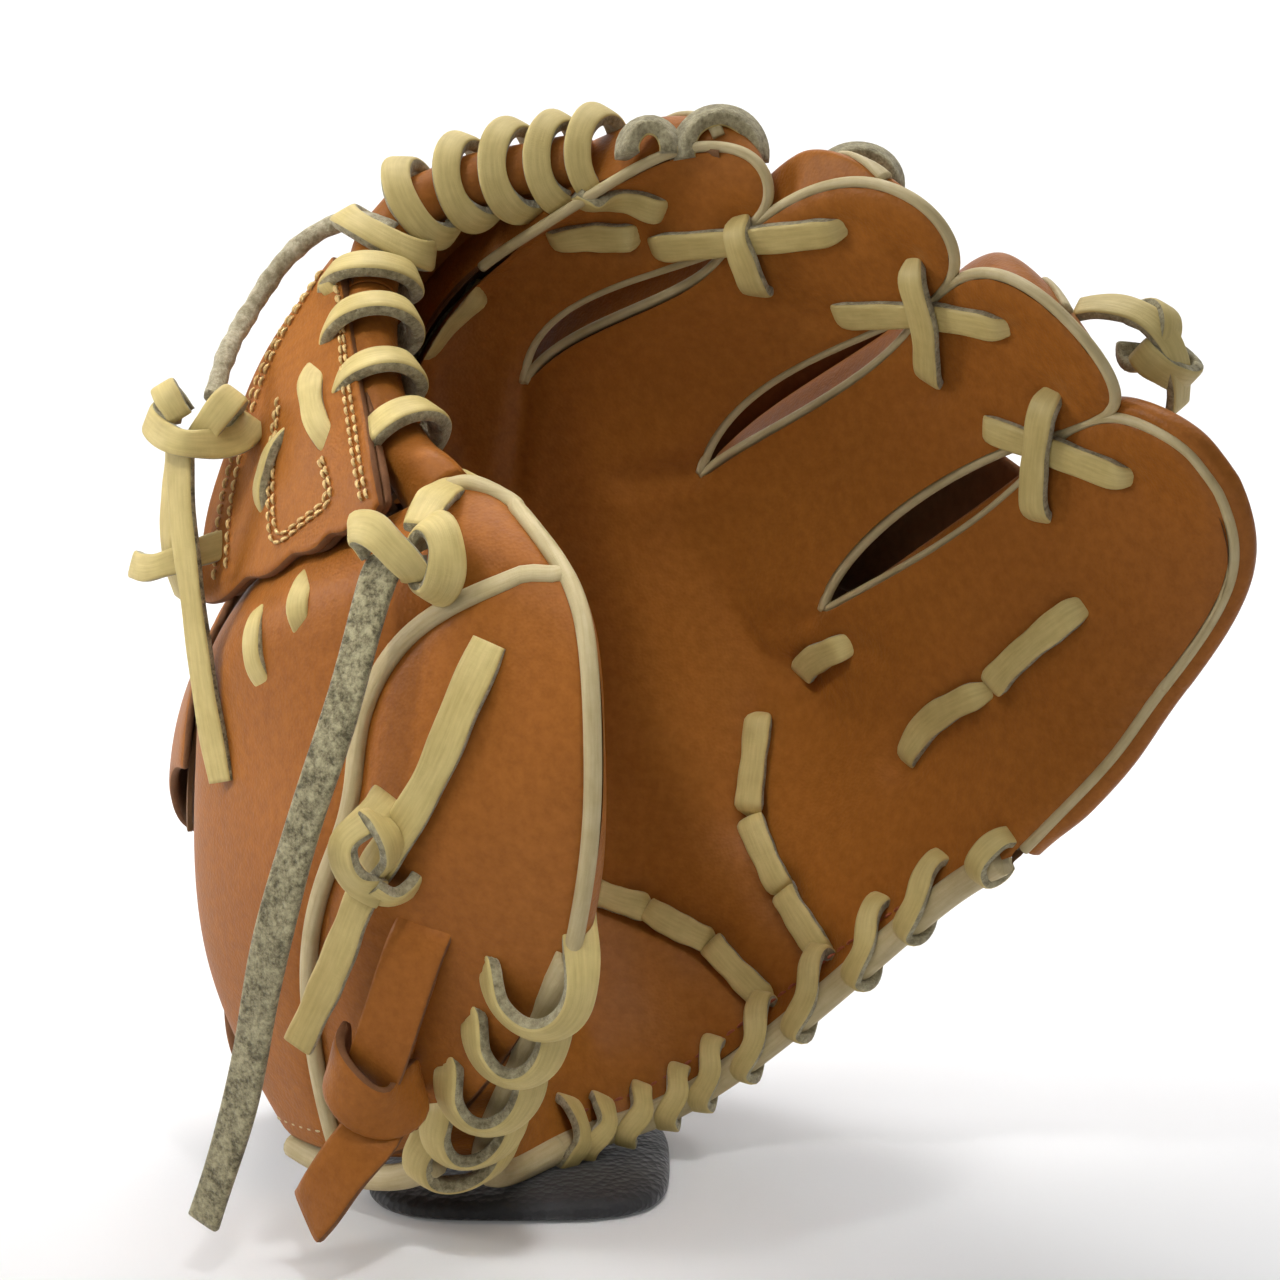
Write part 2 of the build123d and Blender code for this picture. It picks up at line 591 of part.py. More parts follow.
# ---- laces at the fingertips, knots and tails ---------------------------------------------------
def tip_laces():
    """Crossed laces that tie neighbouring stalls together."""
    crosses = [((3.74, 4.13), (4.36, 4.72), (3.93, 4.55), (4.37, 4.05)),
               ((4.70, 4.05), (5.34, 4.66), (4.78, 4.72), (5.38, 4.05)),
               ((5.75, 4.05), (6.38, 4.36), (5.77, 4.52), (6.30, 3.86))]
    laces = []
    for a, b, c, d in crosses:
        laces.append(stitch(FRONT, a, b, rise=2.0, sink=3.5))
        laces.append(stitch(FRONT, c, d, rise=4.8, sink=3.5))
    laces.append(stitch(FRONT, (3.12, 4.62), (3.62, 4.44), rise=2.6, sink=3.5))
    laces.append(stitch(FRONT, (3.20, 4.22), (3.55, 4.20), rise=2.0, sink=3.5))
    return laces


def tip_knot():
    """Knot behind the ring and little fingertips."""
    place = REAR.at(6.35, 4.9) + (2, 6, 12)
    return knot(place, (1.0, 0.1, -0.3), (0.2, -0.9, 0.3), 6.0)


def web_knots():
    thumb_tip = np.array((-28.0, -49.0, 157.0))
    hidden = np.array((-66.0, 24.0, 176.0))
    front = knot(thumb_tip, (1, 0, 0.1), (0, -1, 0.1), 7.0)
    cord_points = [(-47, 14, 204), (-55, 22, 203), (-62, 30, 195), (-65, 31, 186)]
    back = knot(hidden, (0, 0.3, 1), (-0.8, -0.6, 0), 6.5)
    back.append(band(cord_points, (-0.5, -0.6, 0.6), 4.6, 3.4, pieces=4, handle=ARC))
    return {"web_knot_lace": front, "web_back_lace": back}


def tails():
    long_tail = band([(-34, -50, 148), (-40, -53, 120), (-50, -52, 75), (-61, -46, 38), (-68, -40, 8)], (-0.25, -1, 0.05),
                     8.6, 2.0)
    back_tail = band([(-73, 10, 166), (-73, 3, 150), (-70, -6, 128), (-66, -14, 104)], (-0.5, -0.85, 0), 6.4, 2.0)
    return {"long_tail": long_tail, "back_tail": back_tail}


# ---- everything ---------------------------------------------------------------------------------
def glove():
    parts = {}
    parts.update(palm_parts())
    parts.update(back_parts())
    parts.update(wrist_parts())
    parts["heel_binding"] = heel_binding()
    parts["heel_lace"] = heel_loops()
    parts.update(stitch_rows())
    parts.update(thumb_parts())
    parts.update(thumb_trim())
    parts["thumb_ladder_lace"] = thumb_ladder()
    parts.update(thumb_laces())
    for k in range(4):
        parts.update(stall_parts(k))
    parts["finger_pads"] = stall_pads()
    parts["finger_welts"] = stall_welts()
    parts["fingertip_lace"] = tip_laces()
    parts["fingertip_knot"] = tip_knot()
    for half in ("thumb", "finger"):
        parts["web_panel_" + half] = web_panel(half)
        parts["web_roll_" + half] = web_roll(half)
        parts["web_spiral_" + half] = web_spiral(half)
    parts.update(web_knots())
    parts.update(tails())
    return parts


os.makedirs("parts", exist_ok=True)
to_origin = Pos(-ORIGIN_PLACE[0], -ORIGIN_PLACE[1], 0)
for node, shape in glove().items():
    whole = Compound(shape) if isinstance(shape, list) else shape
    export_step(to_origin * whole, "parts/" + node + ".step")
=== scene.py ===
"""Looks of the left-hand fielding glove: oiled tan hide, cream laces, welts and rolled bindings.

The glove's hide follows the same two skins as its CAD frame: POCKET in front and BACK behind, each
drawn through named columns of points in the frame's millimetres, from the heel up to the tips.
"""
import json
import math
import bpy
import numpy as np
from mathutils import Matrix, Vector


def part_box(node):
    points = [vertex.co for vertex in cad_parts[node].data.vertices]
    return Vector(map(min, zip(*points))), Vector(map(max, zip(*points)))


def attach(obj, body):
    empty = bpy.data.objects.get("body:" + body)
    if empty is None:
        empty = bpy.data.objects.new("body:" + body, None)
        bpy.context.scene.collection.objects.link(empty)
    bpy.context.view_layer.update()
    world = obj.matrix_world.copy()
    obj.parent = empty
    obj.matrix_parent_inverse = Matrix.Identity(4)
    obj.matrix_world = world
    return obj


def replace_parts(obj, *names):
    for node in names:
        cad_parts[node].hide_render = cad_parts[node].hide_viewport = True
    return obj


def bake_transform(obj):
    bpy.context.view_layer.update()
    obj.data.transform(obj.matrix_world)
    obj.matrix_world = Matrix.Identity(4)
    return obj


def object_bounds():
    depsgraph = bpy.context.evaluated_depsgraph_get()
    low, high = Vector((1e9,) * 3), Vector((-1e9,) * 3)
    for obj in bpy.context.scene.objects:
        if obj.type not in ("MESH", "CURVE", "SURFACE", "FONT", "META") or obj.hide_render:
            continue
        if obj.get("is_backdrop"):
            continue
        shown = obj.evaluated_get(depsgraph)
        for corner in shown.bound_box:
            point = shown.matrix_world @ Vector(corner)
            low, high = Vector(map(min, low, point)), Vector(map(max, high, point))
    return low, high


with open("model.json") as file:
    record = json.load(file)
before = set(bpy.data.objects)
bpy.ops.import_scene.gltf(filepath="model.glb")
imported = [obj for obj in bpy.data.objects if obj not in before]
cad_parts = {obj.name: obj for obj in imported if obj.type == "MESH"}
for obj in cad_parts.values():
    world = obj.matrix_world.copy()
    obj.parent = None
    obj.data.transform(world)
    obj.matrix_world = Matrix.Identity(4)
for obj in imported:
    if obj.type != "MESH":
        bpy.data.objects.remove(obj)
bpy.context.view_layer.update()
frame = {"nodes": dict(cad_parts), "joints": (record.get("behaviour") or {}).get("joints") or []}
rng = np.random.default_rng(11)

MM = 0.001
HIDE = 2.2                  # thickness of the shell hide, mm
LACE_WIDTH = 6.4
LACE_THICK = 2.6
PIPING = 1.2                # radius of the covered cord in the seams
BINDING = 3.2               # radius of the rolled binding
ROLL = 5.8                  # radius of the web's rolled top edge
SEAM_DROP = 1.9             # how far a stall's front rolls back to its seam

# ---- the two skins ------------------------------------------------------------------------------
THUMB_EDGE = [(13, -62, 74), (18, -68, 99), (19, -71, 121), (18, -68, 137), (13, -57, 150), (-1, -36, 162)]
LITTLE_EDGE = [(103, -10, 80), (115, -20, 95), (126, -28, 109), (135, -34, 123), (144, -42, 146), (136, -46, 168)]
POCKET = [
    THUMB_EDGE,
    [(-7, -24, 15), (1, -20, 52), (-7, -15, 99), (-8, -17, 130), (-9, -17, 146), (-14, -20, 164)],
    [(9, 4, 7), (-1, 14, 44), (-21, 28, 97), (-28, 26, 139), (-24, 10, 155), (-23, -5, 163)],
    [(28, 13, 11), (13, 34, 44), (-11, 56, 105), (-25, 56, 165), (-10, 42, 198), (23, 18, 220)],
    [(47, 16, 21), (32, 40, 55), (13, 62, 113), (-1, 58, 173), (34, 30, 201), (60, 2, 223)],
    [(67, 13, 39), (57, 36, 69), (46, 52, 110), (39, 50, 153), (75, 14, 187), (92, -20, 208)],
    [(86, 4, 60), (81, 20, 81), (73, 34, 102), (66, 34, 125), (103, -6, 165), (122, -36, 179)],
    LITTLE_EDGE,
]
BACK = [
    THUMB_EDGE,
    [(-16, -30, 16), (-34, -42, 75), (-33, -42, 106), (-30, -40, 135), (-22, -40, 151), (-16, -30, 163)],
    [(-49, 0, 10), (-70, 8, 52), (-72, 12, 97), (-66, 8, 124), (-50, 0, 148), (-39, -8, 158)],
    [(-67, 42, 12), (-74, 52, 45), (-74, 60, 99), (-47, 75, 149), (-18, 66, 203), (17, 30, 230)],
    [(-44, 68, 12), (-33, 80, 49), (-33, 92, 104), (-15, 92, 180), (26, 58, 212), (51, 18, 228)],
    [(16, 76, 20), (28, 82, 61), (28, 88, 117), (38, 82, 162), (75, 42, 194), (84, 0, 216)],
    [(75, 52, 53), (80, 54, 86), (77, 58, 116), (75, 60, 132), (110, 20, 170), (119, -18, 190)],
    LITTLE_EDGE,
]
WEB_ROLL = [(-14, -26, 160), (-27, -9, 175), (-31, 7, 190), (-31, 22, 204), (-18, 34, 218), (19, 33, 226)]
WEB_MIDDLE = [(-22, -34, 158), (-39, -14, 160), (-55, 16, 156), (-58, 57, 163), (-34, 79, 183), (6, 64, 202)]
WEB_LOWER = [(-31, -38, 146), (-46, -14, 137), (-63, 20, 126), (-68, 60, 124), (-50, 86, 168), (-10, 80, 188)]
FINGERS = ["index", "middle", "ring", "little"]
# The hide that closes the web over the thumb's back, from the roll's side to its outer edge, top to bottom
FLAP = [
    [(-38, 15, 206), (-35, 6, 196), (-32, -8, 185), (-29, -21, 175), (-27, -31, 168), (-25, -37, 160)],
    [(-38, 19, 205), (-40, 13, 196), (-43, 2, 182), (-43, -9, 169), (-41, -18, 159), (-39, -28, 150)],
    [(-39, 22, 205), (-47, 20, 195), (-56, 18, 181), (-63, 15, 163), (-67, 10, 149), (-68, 2, 131)],
]
TIP_ROW = [4.98, 5.14, 5.15, 5.10]
BACK_TIP_ROW = [5.13, 5.22, 5.18, 5.12]
TIP_CROWN = [(0, 0, -1.0), (1.5, 0, 5.0), (6.0, 0, -1.5), (2.5, 0, 0.5)]      # fullness of each stall's back at its tip, mm
CROTCH = 3.0
HEM = 0.15
WEB_HEM = 4.25              # row up to which the pocket's hide runs on beside the index stall
SPLIT = 2.40                # column where the thumb's hide meets the palm's

ORIGIN = np.array((1.0, 28.5, 0.0))     # where the frame's origin lies in the nets' millimetres


def place(points):
    """Net millimetres to the frame's metres."""
    return (np.asarray(points, float) - ORIGIN) * MM


def spline_weights(count, t):
    """Weights of a natural cubic spline through `count` evenly spaced points, at places t."""
    t = np.asarray(t, float).ravel()
    cell = np.clip(np.floor(t).astype(int), 0, count - 2)
    right = t - cell
    left = 1 - right
    system, bend = np.eye(count), np.zeros((count, count))
    for k in range(1, count - 1):
        system[k, k - 1:k + 2] = (1, 4, 1)
        bend[k, k - 1:k + 2] = (6, -12, 6)
    moment = np.linalg.solve(system, bend)
    weights = np.zeros((len(t), count))
    rows = np.arange(len(t))
    weights[rows, cell] += left
    weights[rows, cell + 1] += right
    weights += ((left**3 - left)[:, None] * moment[cell] + (right**3 - right)[:, None] * moment[cell + 1]) / 6
    return weights


class Sheet:
    """A smooth surface through a net of points; u counts columns, v counts rows."""

    def __init__(self, columns, inside):
        self.net = np.array(columns, float)
        self.inside = inside

    def at(self, u, v):
        u, v = np.broadcast_arrays(np.asarray(u, float), np.asarray(v, float))
        wu = spline_weights(self.net.shape[0], u)
        wv = spline_weights(self.net.shape[1], v)
        return np.einsum("ni,nj,ijk->nk", wu, wv, self.net).reshape(u.shape + (3,))

    def normal(self, u, v):
        """Unit normal that points into the glove's body."""
        step = 0.02
        along_u = self.at(np.add(u, step), v) - self.at(np.subtract(u, step), v)
        along_v = self.at(u, np.add(v, step)) - self.at(u, np.subtract(v, step))
        return unit(np.cross(along_u, along_v) * self.inside)

    def lift(self, u, v, height):
        """Point at a height above the skin, outside the glove's body."""
        return self.at(u, v) - self.normal(u, v) * np.asarray(height, float)[..., None]


def unit(vector):
    vector = np.asarray(vector, float)
    return vector / np.linalg.norm(vector, axis=-1, keepdims=True).clip(1e-9)


def blend(a, b, t):
    return a + (b - a) * t


def smooth(t):
    t = np.clip(t, 0, 1)
    return t * t * (3 - 2 * t)


FRONT = Sheet(POCKET, -1.0)
REAR = Sheet(BACK, 1.0)
WEB = Sheet(list(map(list, zip(WEB_ROLL, WEB_MIDDLE, WEB_LOWER))), 1.0)
OVERLAY = Sheet(FLAP, 1.0)
WEB_STEPS = len(WEB_ROLL) - 1


# ---- materials ----------------------------------------------------------------------------------
def material(name, build):
    """New node material; build(nodes, link, shader) sets it up. Textures read the rest position in metres."""
    made = bpy.data.materials.new(name)
    made.use_nodes = True
    tree = made.node_tree
    shader = tree.nodes["Principled BSDF"]
    build(tree.nodes, tree.links.new, shader)
    return made


def noise(nodes, link, where, scale, detail=3.0, rough=0.5, stretch=None):
    node = nodes.new("ShaderNodeTexNoise")
    node.inputs["Scale"].default_value = scale
    node.inputs["Detail"].default_value = detail
    node.inputs["Roughness"].default_value = rough
    if stretch:
        mapping = nodes.new("ShaderNodeMapping")
        mapping.inputs["Scale"].default_value = stretch
        link(where, mapping.inputs["Vector"])
        where = mapping.outputs["Vector"]
    link(where, node.inputs["Vector"])
    return node.outputs["Fac"]


def ramp(nodes, link, value, stops):
    node = nodes.new("ShaderNodeValToRGB")
    while len(node.color_ramp.elements) < len(stops):
        node.color_ramp.elements.new(0.5)
    for element, (spot, colour) in zip(node.color_ramp.elements, stops):
        element.position = spot
        element.color = (*colour, 1) if len(colour) == 3 else colour
    link(value, node.inputs["Fac"])
    return node.outputs["Color"]


def mix(nodes, link, factor, a, b, mode="MIX"):
    node = nodes.new("ShaderNodeMix")
    node.data_type = "RGBA"
    node.blend_type = mode
    for socket, value in ((node.inputs["Factor"], factor), (node.inputs["A"], a), (node.inputs["B"], b)):
        if hasattr(value, "links"):
            link(value, socket)
        elif isinstance(value, tuple):
            socket.default_value = (*value, 1)
        else:
            socket.default_value = value
    return node.outputs["Result"]


def bump(nodes, link, layers):
    """Chain of bump nodes; each layer is (height, distance in metres, strength)."""
    last = None
    for height, distance, strength in layers:
        node = nodes.new("ShaderNodeBump")
        node.inputs["Distance"].default_value = distance
        node.inputs["Strength"].default_value = strength
        link(height, node.inputs["Height"])
        if last:
            link(last, node.inputs["Normal"])
        last = node.outputs["Normal"]
    return last


def rest_position(nodes):
    return nodes.new("ShaderNodeTexCoord").outputs["Object"]


def ranged(nodes, link, value, low, high):
    node = nodes.new("ShaderNodeMapRange")
    node.inputs["To Min"].default_value = low
    node.inputs["To Max"].default_value = high
    link(value, node.inputs["Value"])
    return node.outputs["Result"]


def hide_material(name, deep, mid, light, rough=(0.36, 0.50)):
    """Oiled, drum-dyed cowhide: slow changes of tone, fine pores and shallow creases."""
    def build(nodes, link, shader):
        where = rest_position(nodes)
        broad = noise(nodes, link, where, 9, 3, 0.5)
        tone = ramp(nodes, link, broad, [(0.25, deep), (0.50, mid), (0.78, light)])
        fine = noise(nodes, link, where, 420, 4, 0.65)
        speck = ramp(nodes, link, fine, [(0.34, (0.86, 0.84, 0.82)), (0.66, (1.07, 1.07, 1.07))])
        link(mix(nodes, link, 1.0, tone, speck, "MULTIPLY"), shader.inputs["Base Color"])
        pores = nodes.new("ShaderNodeTexVoronoi")
        pores.inputs["Scale"].default_value = 1300
        link(where, pores.inputs["Vector"])
        creases = noise(nodes, link, where, 130, 6, 0.6)
        soft = noise(nodes, link, where, 28, 2, 0.5)
        link(bump(nodes, link, [(soft, 0.0016, 0.22), (creases, 0.0006, 0.42),
                                (pores.outputs["Distance"], 0.00018, 0.45)]), shader.inputs["Normal"])
        link(ranged(nodes, link, fine, *rough), shader.inputs["Roughness"])
        shader.inputs["Specular IOR Level"].default_value = 0.13
    return material(name, build)


def grain_material(name, base, stain):
    """Smooth side of a rawhide lace: waxed, faintly streaked along its length."""
    def build(nodes, link, shader):
        along = nodes.new("ShaderNodeTexCoord").outputs["UV"]
        where = rest_position(nodes)
        streak = noise(nodes, link, along, 1.0, 4, 0.6, (0.10, 1.3, 1.0))
        patchy = noise(nodes, link, where, 120, 3, 0.6)
        tone = ramp(nodes, link, streak, [(0.30, stain), (0.62, base)])
        worn = ramp(nodes, link, patchy, [(0.35, (0.90, 0.88, 0.82)), (0.60, (1.03, 1.03, 1.03))])
        link(mix(nodes, link, 1.0, tone, worn, "MULTIPLY"), shader.inputs["Base Color"])
        wrinkle = noise(nodes, link, along, 1.0, 5, 0.65, (1.3, 0.35, 1.0))
        link(bump(nodes, link, [(streak, 0.0004, 0.4), (wrinkle, 0.0003, 0.4)]), shader.inputs["Normal"])
        shader.inputs["Roughness"].default_value = 0.50
        shader.inputs["Specular IOR Level"].default_value = 0.35
    return material(name, build)


def flesh_material(name, dark, light):
    """Rough flesh side of a lace: matted fibres."""
    def build(nodes, link, shader):
        where = rest_position(nodes)
        fibre = noise(nodes, link, where, 900, 5, 0.75)
        clump = noise(nodes, link, where, 330, 4, 0.7)
        both = mix(nodes, link, 0.5, fibre, clump)
        link(ramp(nodes, link, both, [(0.41, dark), (0.60, light)]), shader.inputs["Base Color"])
        link(bump(nodes, link, [(clump, 0.0012, 0.8), (fibre, 0.0005, 0.8)]), shader.inputs["Normal"])
        shader.inputs["Roughness"].default_value = 0.95
        shader.inputs["Sheen Weight"].default_value = 0.25
        shader.inputs["Specular IOR Level"].default_value = 0.15
    return material(name, build)


def thread_material(name, colour):
    def build(nodes, link, shader):
        ply = noise(nodes, link, rest_position(nodes), 1500, 3, 0.6)
        shade = tuple(c * 0.6 for c in colour)
        link(ramp(nodes, link, ply, [(0.3, shade), (0.6, colour)]), shader.inputs["Base Color"])
        link(bump(nodes, link, [(ply, 0.0002, 0.6)]), shader.inputs["Normal"])
        shader.inputs["Roughness"].default_value = 0.65
    return material(name, build)


def pad_material(name, dark, light):
    """Black knitted lining with a faint grey sheen."""
    def build(nodes, link, shader):
        where = rest_position(nodes)
        knit = nodes.new("ShaderNodeTexVoronoi")
        knit.inputs["Scale"].default_value = 620
        link(where, knit.inputs["Vector"])
        patchy = noise(nodes, link, where, 90, 5, 0.6)
        link(ramp(nodes, link, patchy, [(0.35, dark), (0.75, light)]), shader.inputs["Base Color"])
        link(bump(nodes, link, [(patchy, 0.0015, 0.4), (knit.outputs["Distance"], 0.0006, 0.6)]), shader.inputs["Normal"])
        shader.inputs["Roughness"].default_value = 0.62
        shader.inputs["Sheen Weight"].default_value = 0.3
    return material(name, build)


TAN = hide_material("tan_hide", (0.300, 0.100, 0.016), (0.355, 0.124, 0.021), (0.400, 0.148, 0.028))
TAN_EDGE = hide_material("tan_cut_edge", (0.16, 0.07, 0.03), (0.22, 0.10, 0.045), (0.28, 0.13, 0.06), (0.7, 0.85))
LINING = hide_material("lining_hide", (0.16, 0.08, 0.04), (0.22, 0.11, 0.05), (0.28, 0.15, 0.07), (0.6, 0.8))
TRIM = grain_material("cream_trim", (0.55, 0.45, 0.25), (0.48, 0.38, 0.19))
GRAIN = grain_material("lace_grain", (0.63, 0.50, 0.20), (0.53, 0.41, 0.15))
FLESH = flesh_material("lace_flesh", (0.11, 0.092, 0.045), (0.50, 0.44, 0.26))
EDGE = flesh_material("lace_edge", (0.22, 0.185, 0.10), (0.50, 0.44, 0.27))
CORD = flesh_material("lace_suede", (0.30, 0.25, 0.15), (0.62, 0.55, 0.38))
THREAD = thread_material("pale_thread", (0.80, 0.55, 0.22))
RED_THREAD = thread_material("rust_thread", (0.42, 0.10, 0.04))
BLACK = pad_material("black_lining", (0.008, 0.008, 0.009), (0.035, 0.036, 0.040))


# ---- meshes -------------------------------------------------------------------------------------
def mesh_object(name, points, faces, materials, face_materials=None, uv=None, subdivide=0):
    """Smooth mesh object from net millimetres; uv is one pair per vertex."""
    data = bpy.data.meshes.new(name)
    data.from_pydata(place(points).tolist(), [], [list(map(int, face)) for face in faces])
    for one in materials:
        data.materials.append(one)
    data.polygons.foreach_set("use_smooth", [True] * len(data.polygons))
    if face_materials is not None:
        data.polygons.foreach_set("material_index", np.asarray(face_materials, int))
    if uv is not None:
        corners = np.zeros(len(data.loops), int)
        data.loops.foreach_get("vertex_index", corners)
        data.uv_layers.new(name="UVMap").data.foreach_set("uv", np.asarray(uv, float)[corners].ravel())
    data.validate()
    made = bpy.data.objects.new(name, data)
    bpy.context.collection.objects.link(made)
    if subdivide:
        made.modifiers.new("round", "SUBSURF").render_levels = subdivide
        made.modifiers["round"].levels = subdivide
    return made


def grid_faces(rows, columns, start=0, wrap=False):
    faces = []
    for i in range(rows - 1):
        for j in range(columns if wrap else columns - 1):
            k = (j + 1) % columns
            faces.append((start + i * columns + j, start + i * columns + k,
                          start + (i + 1) * columns + k, start + (i + 1) * columns + j))
    return faces


class Pile:
    """Collects several loose shells that make one piece."""

    def __init__(self):
        self.points, self.faces, self.kinds, self.uv, self.count = [], [], [], [], 0

    def add(self, points, faces, kinds=None, uv=None):
        points = np.asarray(points, float).reshape(-1, 3)
        self.points.append(points)
        self.faces += [tuple(index + self.count for index in face) for face in faces]
        self.kinds += list(kinds) if kinds is not None else [0] * len(faces)
        self.uv.append(np.zeros((len(points), 2)) if uv is None else np.asarray(uv, float).reshape(-1, 2))
        self.count += len(points)
        return self

    def build(self, name, materials, subdivide=0):
        return mesh_object(name, np.vstack(self.points), self.faces, materials, self.kinds,
                           np.vstack(self.uv), subdivide)


def section(width, thick, sides, power):
    """Rounded-rectangle outline, from the right edge over the top: rows of (across, up)."""
    angle = np.arange(sides) * 2 * np.pi / sides
    c, s = np.cos(angle), np.sin(angle)
    return np.stack([np.sign(c) * np.abs(c)**power * width / 2, np.sign(s) * np.abs(s)**power * thick / 2], 1)


def sweep(pile, path, ups, outline, widths=None, split=True):
    """Adds a cord along a path of points: its outline's up side faces ups. split marks the lower faces as kind 1."""
    path, ups = np.asarray(path, float), np.asarray(ups, float)
    count, sides = len(path), len(outline)
    forward = unit(np.gradient(path, axis=0))
    across = unit(np.cross(forward, ups))
    high = np.cross(across, forward)
    scale = np.ones(count) if widths is None else widths
    rings = (path[:, None] + across[:, None] * (outline[None, :, :1] * scale[:, None, None])
             + high[:, None] * outline[None, :, 1:])
    length = np.concatenate([[0], np.cumsum(np.linalg.norm(np.diff(path, axis=0), axis=1))])
    around = np.concatenate([[0], np.cumsum(np.linalg.norm(np.diff(outline, axis=0), axis=1))])
    uv = np.stack(np.broadcast_arrays(length[:, None], around[None, :]), -1)
    faces = grid_faces(count, sides, wrap=True)
    rises = np.sin((np.arange(sides) + 0.5) * 2 * np.pi / sides) > 0.35
    kinds = [1 if split and not rises[index % sides] else 0 for index in range(len(faces))]
    caps = [tuple(range(sides))[::-1], tuple((count - 1) * sides + side for side in range(sides))]
    pile.add(rings, faces + caps, kinds + [1 if split else 0] * 2, uv)
    return pile


def fair(points, gap=1.2):
    """A few points to an even, smooth run of points about `gap` apart."""
    points = np.asarray(points, float)
    dense = spline_weights(len(points), np.linspace(0, len(points) - 1, 40 * len(points))) @ points
    length = np.concatenate([[0], np.cumsum(np.linalg.norm(np.diff(dense[:, :3], axis=0), axis=1))])
    even = np.linspace(0, length[-1], max(6, int(length[-1] / gap)))
    return np.stack([np.interp(even, length, dense[:, axis]) for axis in range(points.shape[1])], 1)


def lace(pile, points, ups, width=LACE_WIDTH, thick=LACE_THICK, gap=1.0, wander=0.0, taper=0.0):
    """Flat lace through points; ups is one direction or one per point, and is the grain side."""
    points = np.asarray(points, float)
    ups = np.broadcast_to(np.asarray(ups, float), points.shape)
    run = fair(np.hstack([points, unit(ups) * 10]), gap)
    path, up = run[:, :3], unit(run[:, 3:])
    wave = np.linspace(0, 1, len(path))
    widths = 1 + 0.05 * np.sin(wave * 9 + rng.uniform(0, 6)) + 0.03 * np.sin(wave * 23 + rng.uniform(0, 6))
    widths = widths * (1 - taper * (1 - smooth(np.minimum(wave, 1 - wave) / 0.16)))
    if wander:
        side = unit(np.cross(np.gradient(path, axis=0), up))
        path = path + side * (wander * np.sin(wave * 5 + rng.uniform(0, 6)))[:, None]
    return sweep(pile, path, up, section(width, thick, 20, 0.42), widths)


def tube(pile, points, up, radius, gap=1.2, squash=1.0, even=True):
    """Round cord through points."""
    points = np.asarray(points, float)
    ups = np.broadcast_to(np.asarray(up, float), points.shape)
    run = fair(np.hstack([points, unit(ups) * 10]), gap) if even else np.hstack([points, ups])
    return sweep(pile, run[:, :3], run[:, 3:], section(2 * radius, 2 * radius * squash, 14, 1.0), None, False)


def stitches(pile, path, ups, pitch=3.4, stitch=2.3, radius=0.36, lift=0.25):
    """Row of thread dashes lying on a path."""
    length = np.concatenate([[0], np.cumsum(np.linalg.norm(np.diff(path, axis=0), axis=1))])
    count = int(length[-1] / pitch)
    outline = section(2 * radius, 2 * radius, 6, 1.0)
    for index in range(count):
        spots = (index + 0.5) * pitch + np.linspace(-stitch / 2, stitch / 2, 5)
        centre = np.stack([np.interp(spots, length, path[:, axis]) for axis in range(3)], 1)
        up = unit(np.stack([np.interp(spots, length, ups[:, axis]) for axis in range(3)], 1))
        arch = np.array([-0.45, 0.25, 0.45, 0.25, -0.45]) * radius * 1.6 + lift
        sweep(pile, centre + up * arch[:, None], up, outline, np.array([0.5, 1, 1, 1, 0.5]), False)
    return pile


def shell(name, grid, outward, hide=HIDE, skin=TAN, inner=LINING, subdivide=1):
    """Sheet of hide from a grid of points on its outer face (rows, columns); outward tells which side that is."""
    rows, columns = grid.shape[:2]
    faces = grid_faces(rows, columns)
    along = grid[rows // 2, columns // 2 + 1] - grid[rows // 2, columns // 2]
    over = grid[rows // 2 + 1, columns // 2] - grid[rows // 2, columns // 2]
    out = np.broadcast_to(outward, grid.shape)[rows // 2, columns // 2]
    if np.dot(np.cross(along, over), out) < 0:
        faces = [face[::-1] for face in faces]
    made = mesh_object(name, grid.reshape(-1, 3), faces, [skin, inner, TAN_EDGE])
    thicken(made, hide, subdivide)
    return made


def thicken(made, hide=HIDE, subdivide=1):
    solid = made.modifiers.new("hide", "SOLIDIFY")
    solid.thickness = hide * MM
    solid.offset = -1.0
    solid.material_offset = 1
    solid.material_offset_rim = 2
    if subdivide:
        smoothing = made.modifiers.new("round", "SUBSURF")
        smoothing.levels = smoothing.render_levels = subdivide


def axis_of(name):
    joint = next(one for one in frame["joints"] if one["name"] == name)
    return np.array(joint["pos_m"]), unit(joint["axis"])


def bend_with_fingers(piece):
    """Bakes the piece's placement into its mesh; the finger_curl joint is read, but the piece is not bent with the
    stalls.
    """
    point, axis = axis_of("finger_curl")
    rise = unit(np.cross(axis, (0, 1, 0)) * np.sign(np.cross(axis, (0, 1, 0))[2]))
    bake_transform(piece)
    return piece


def stands_for(piece, body, *nodes):
    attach(piece, body)
    if nodes:
        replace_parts(piece, *nodes)
    return piece


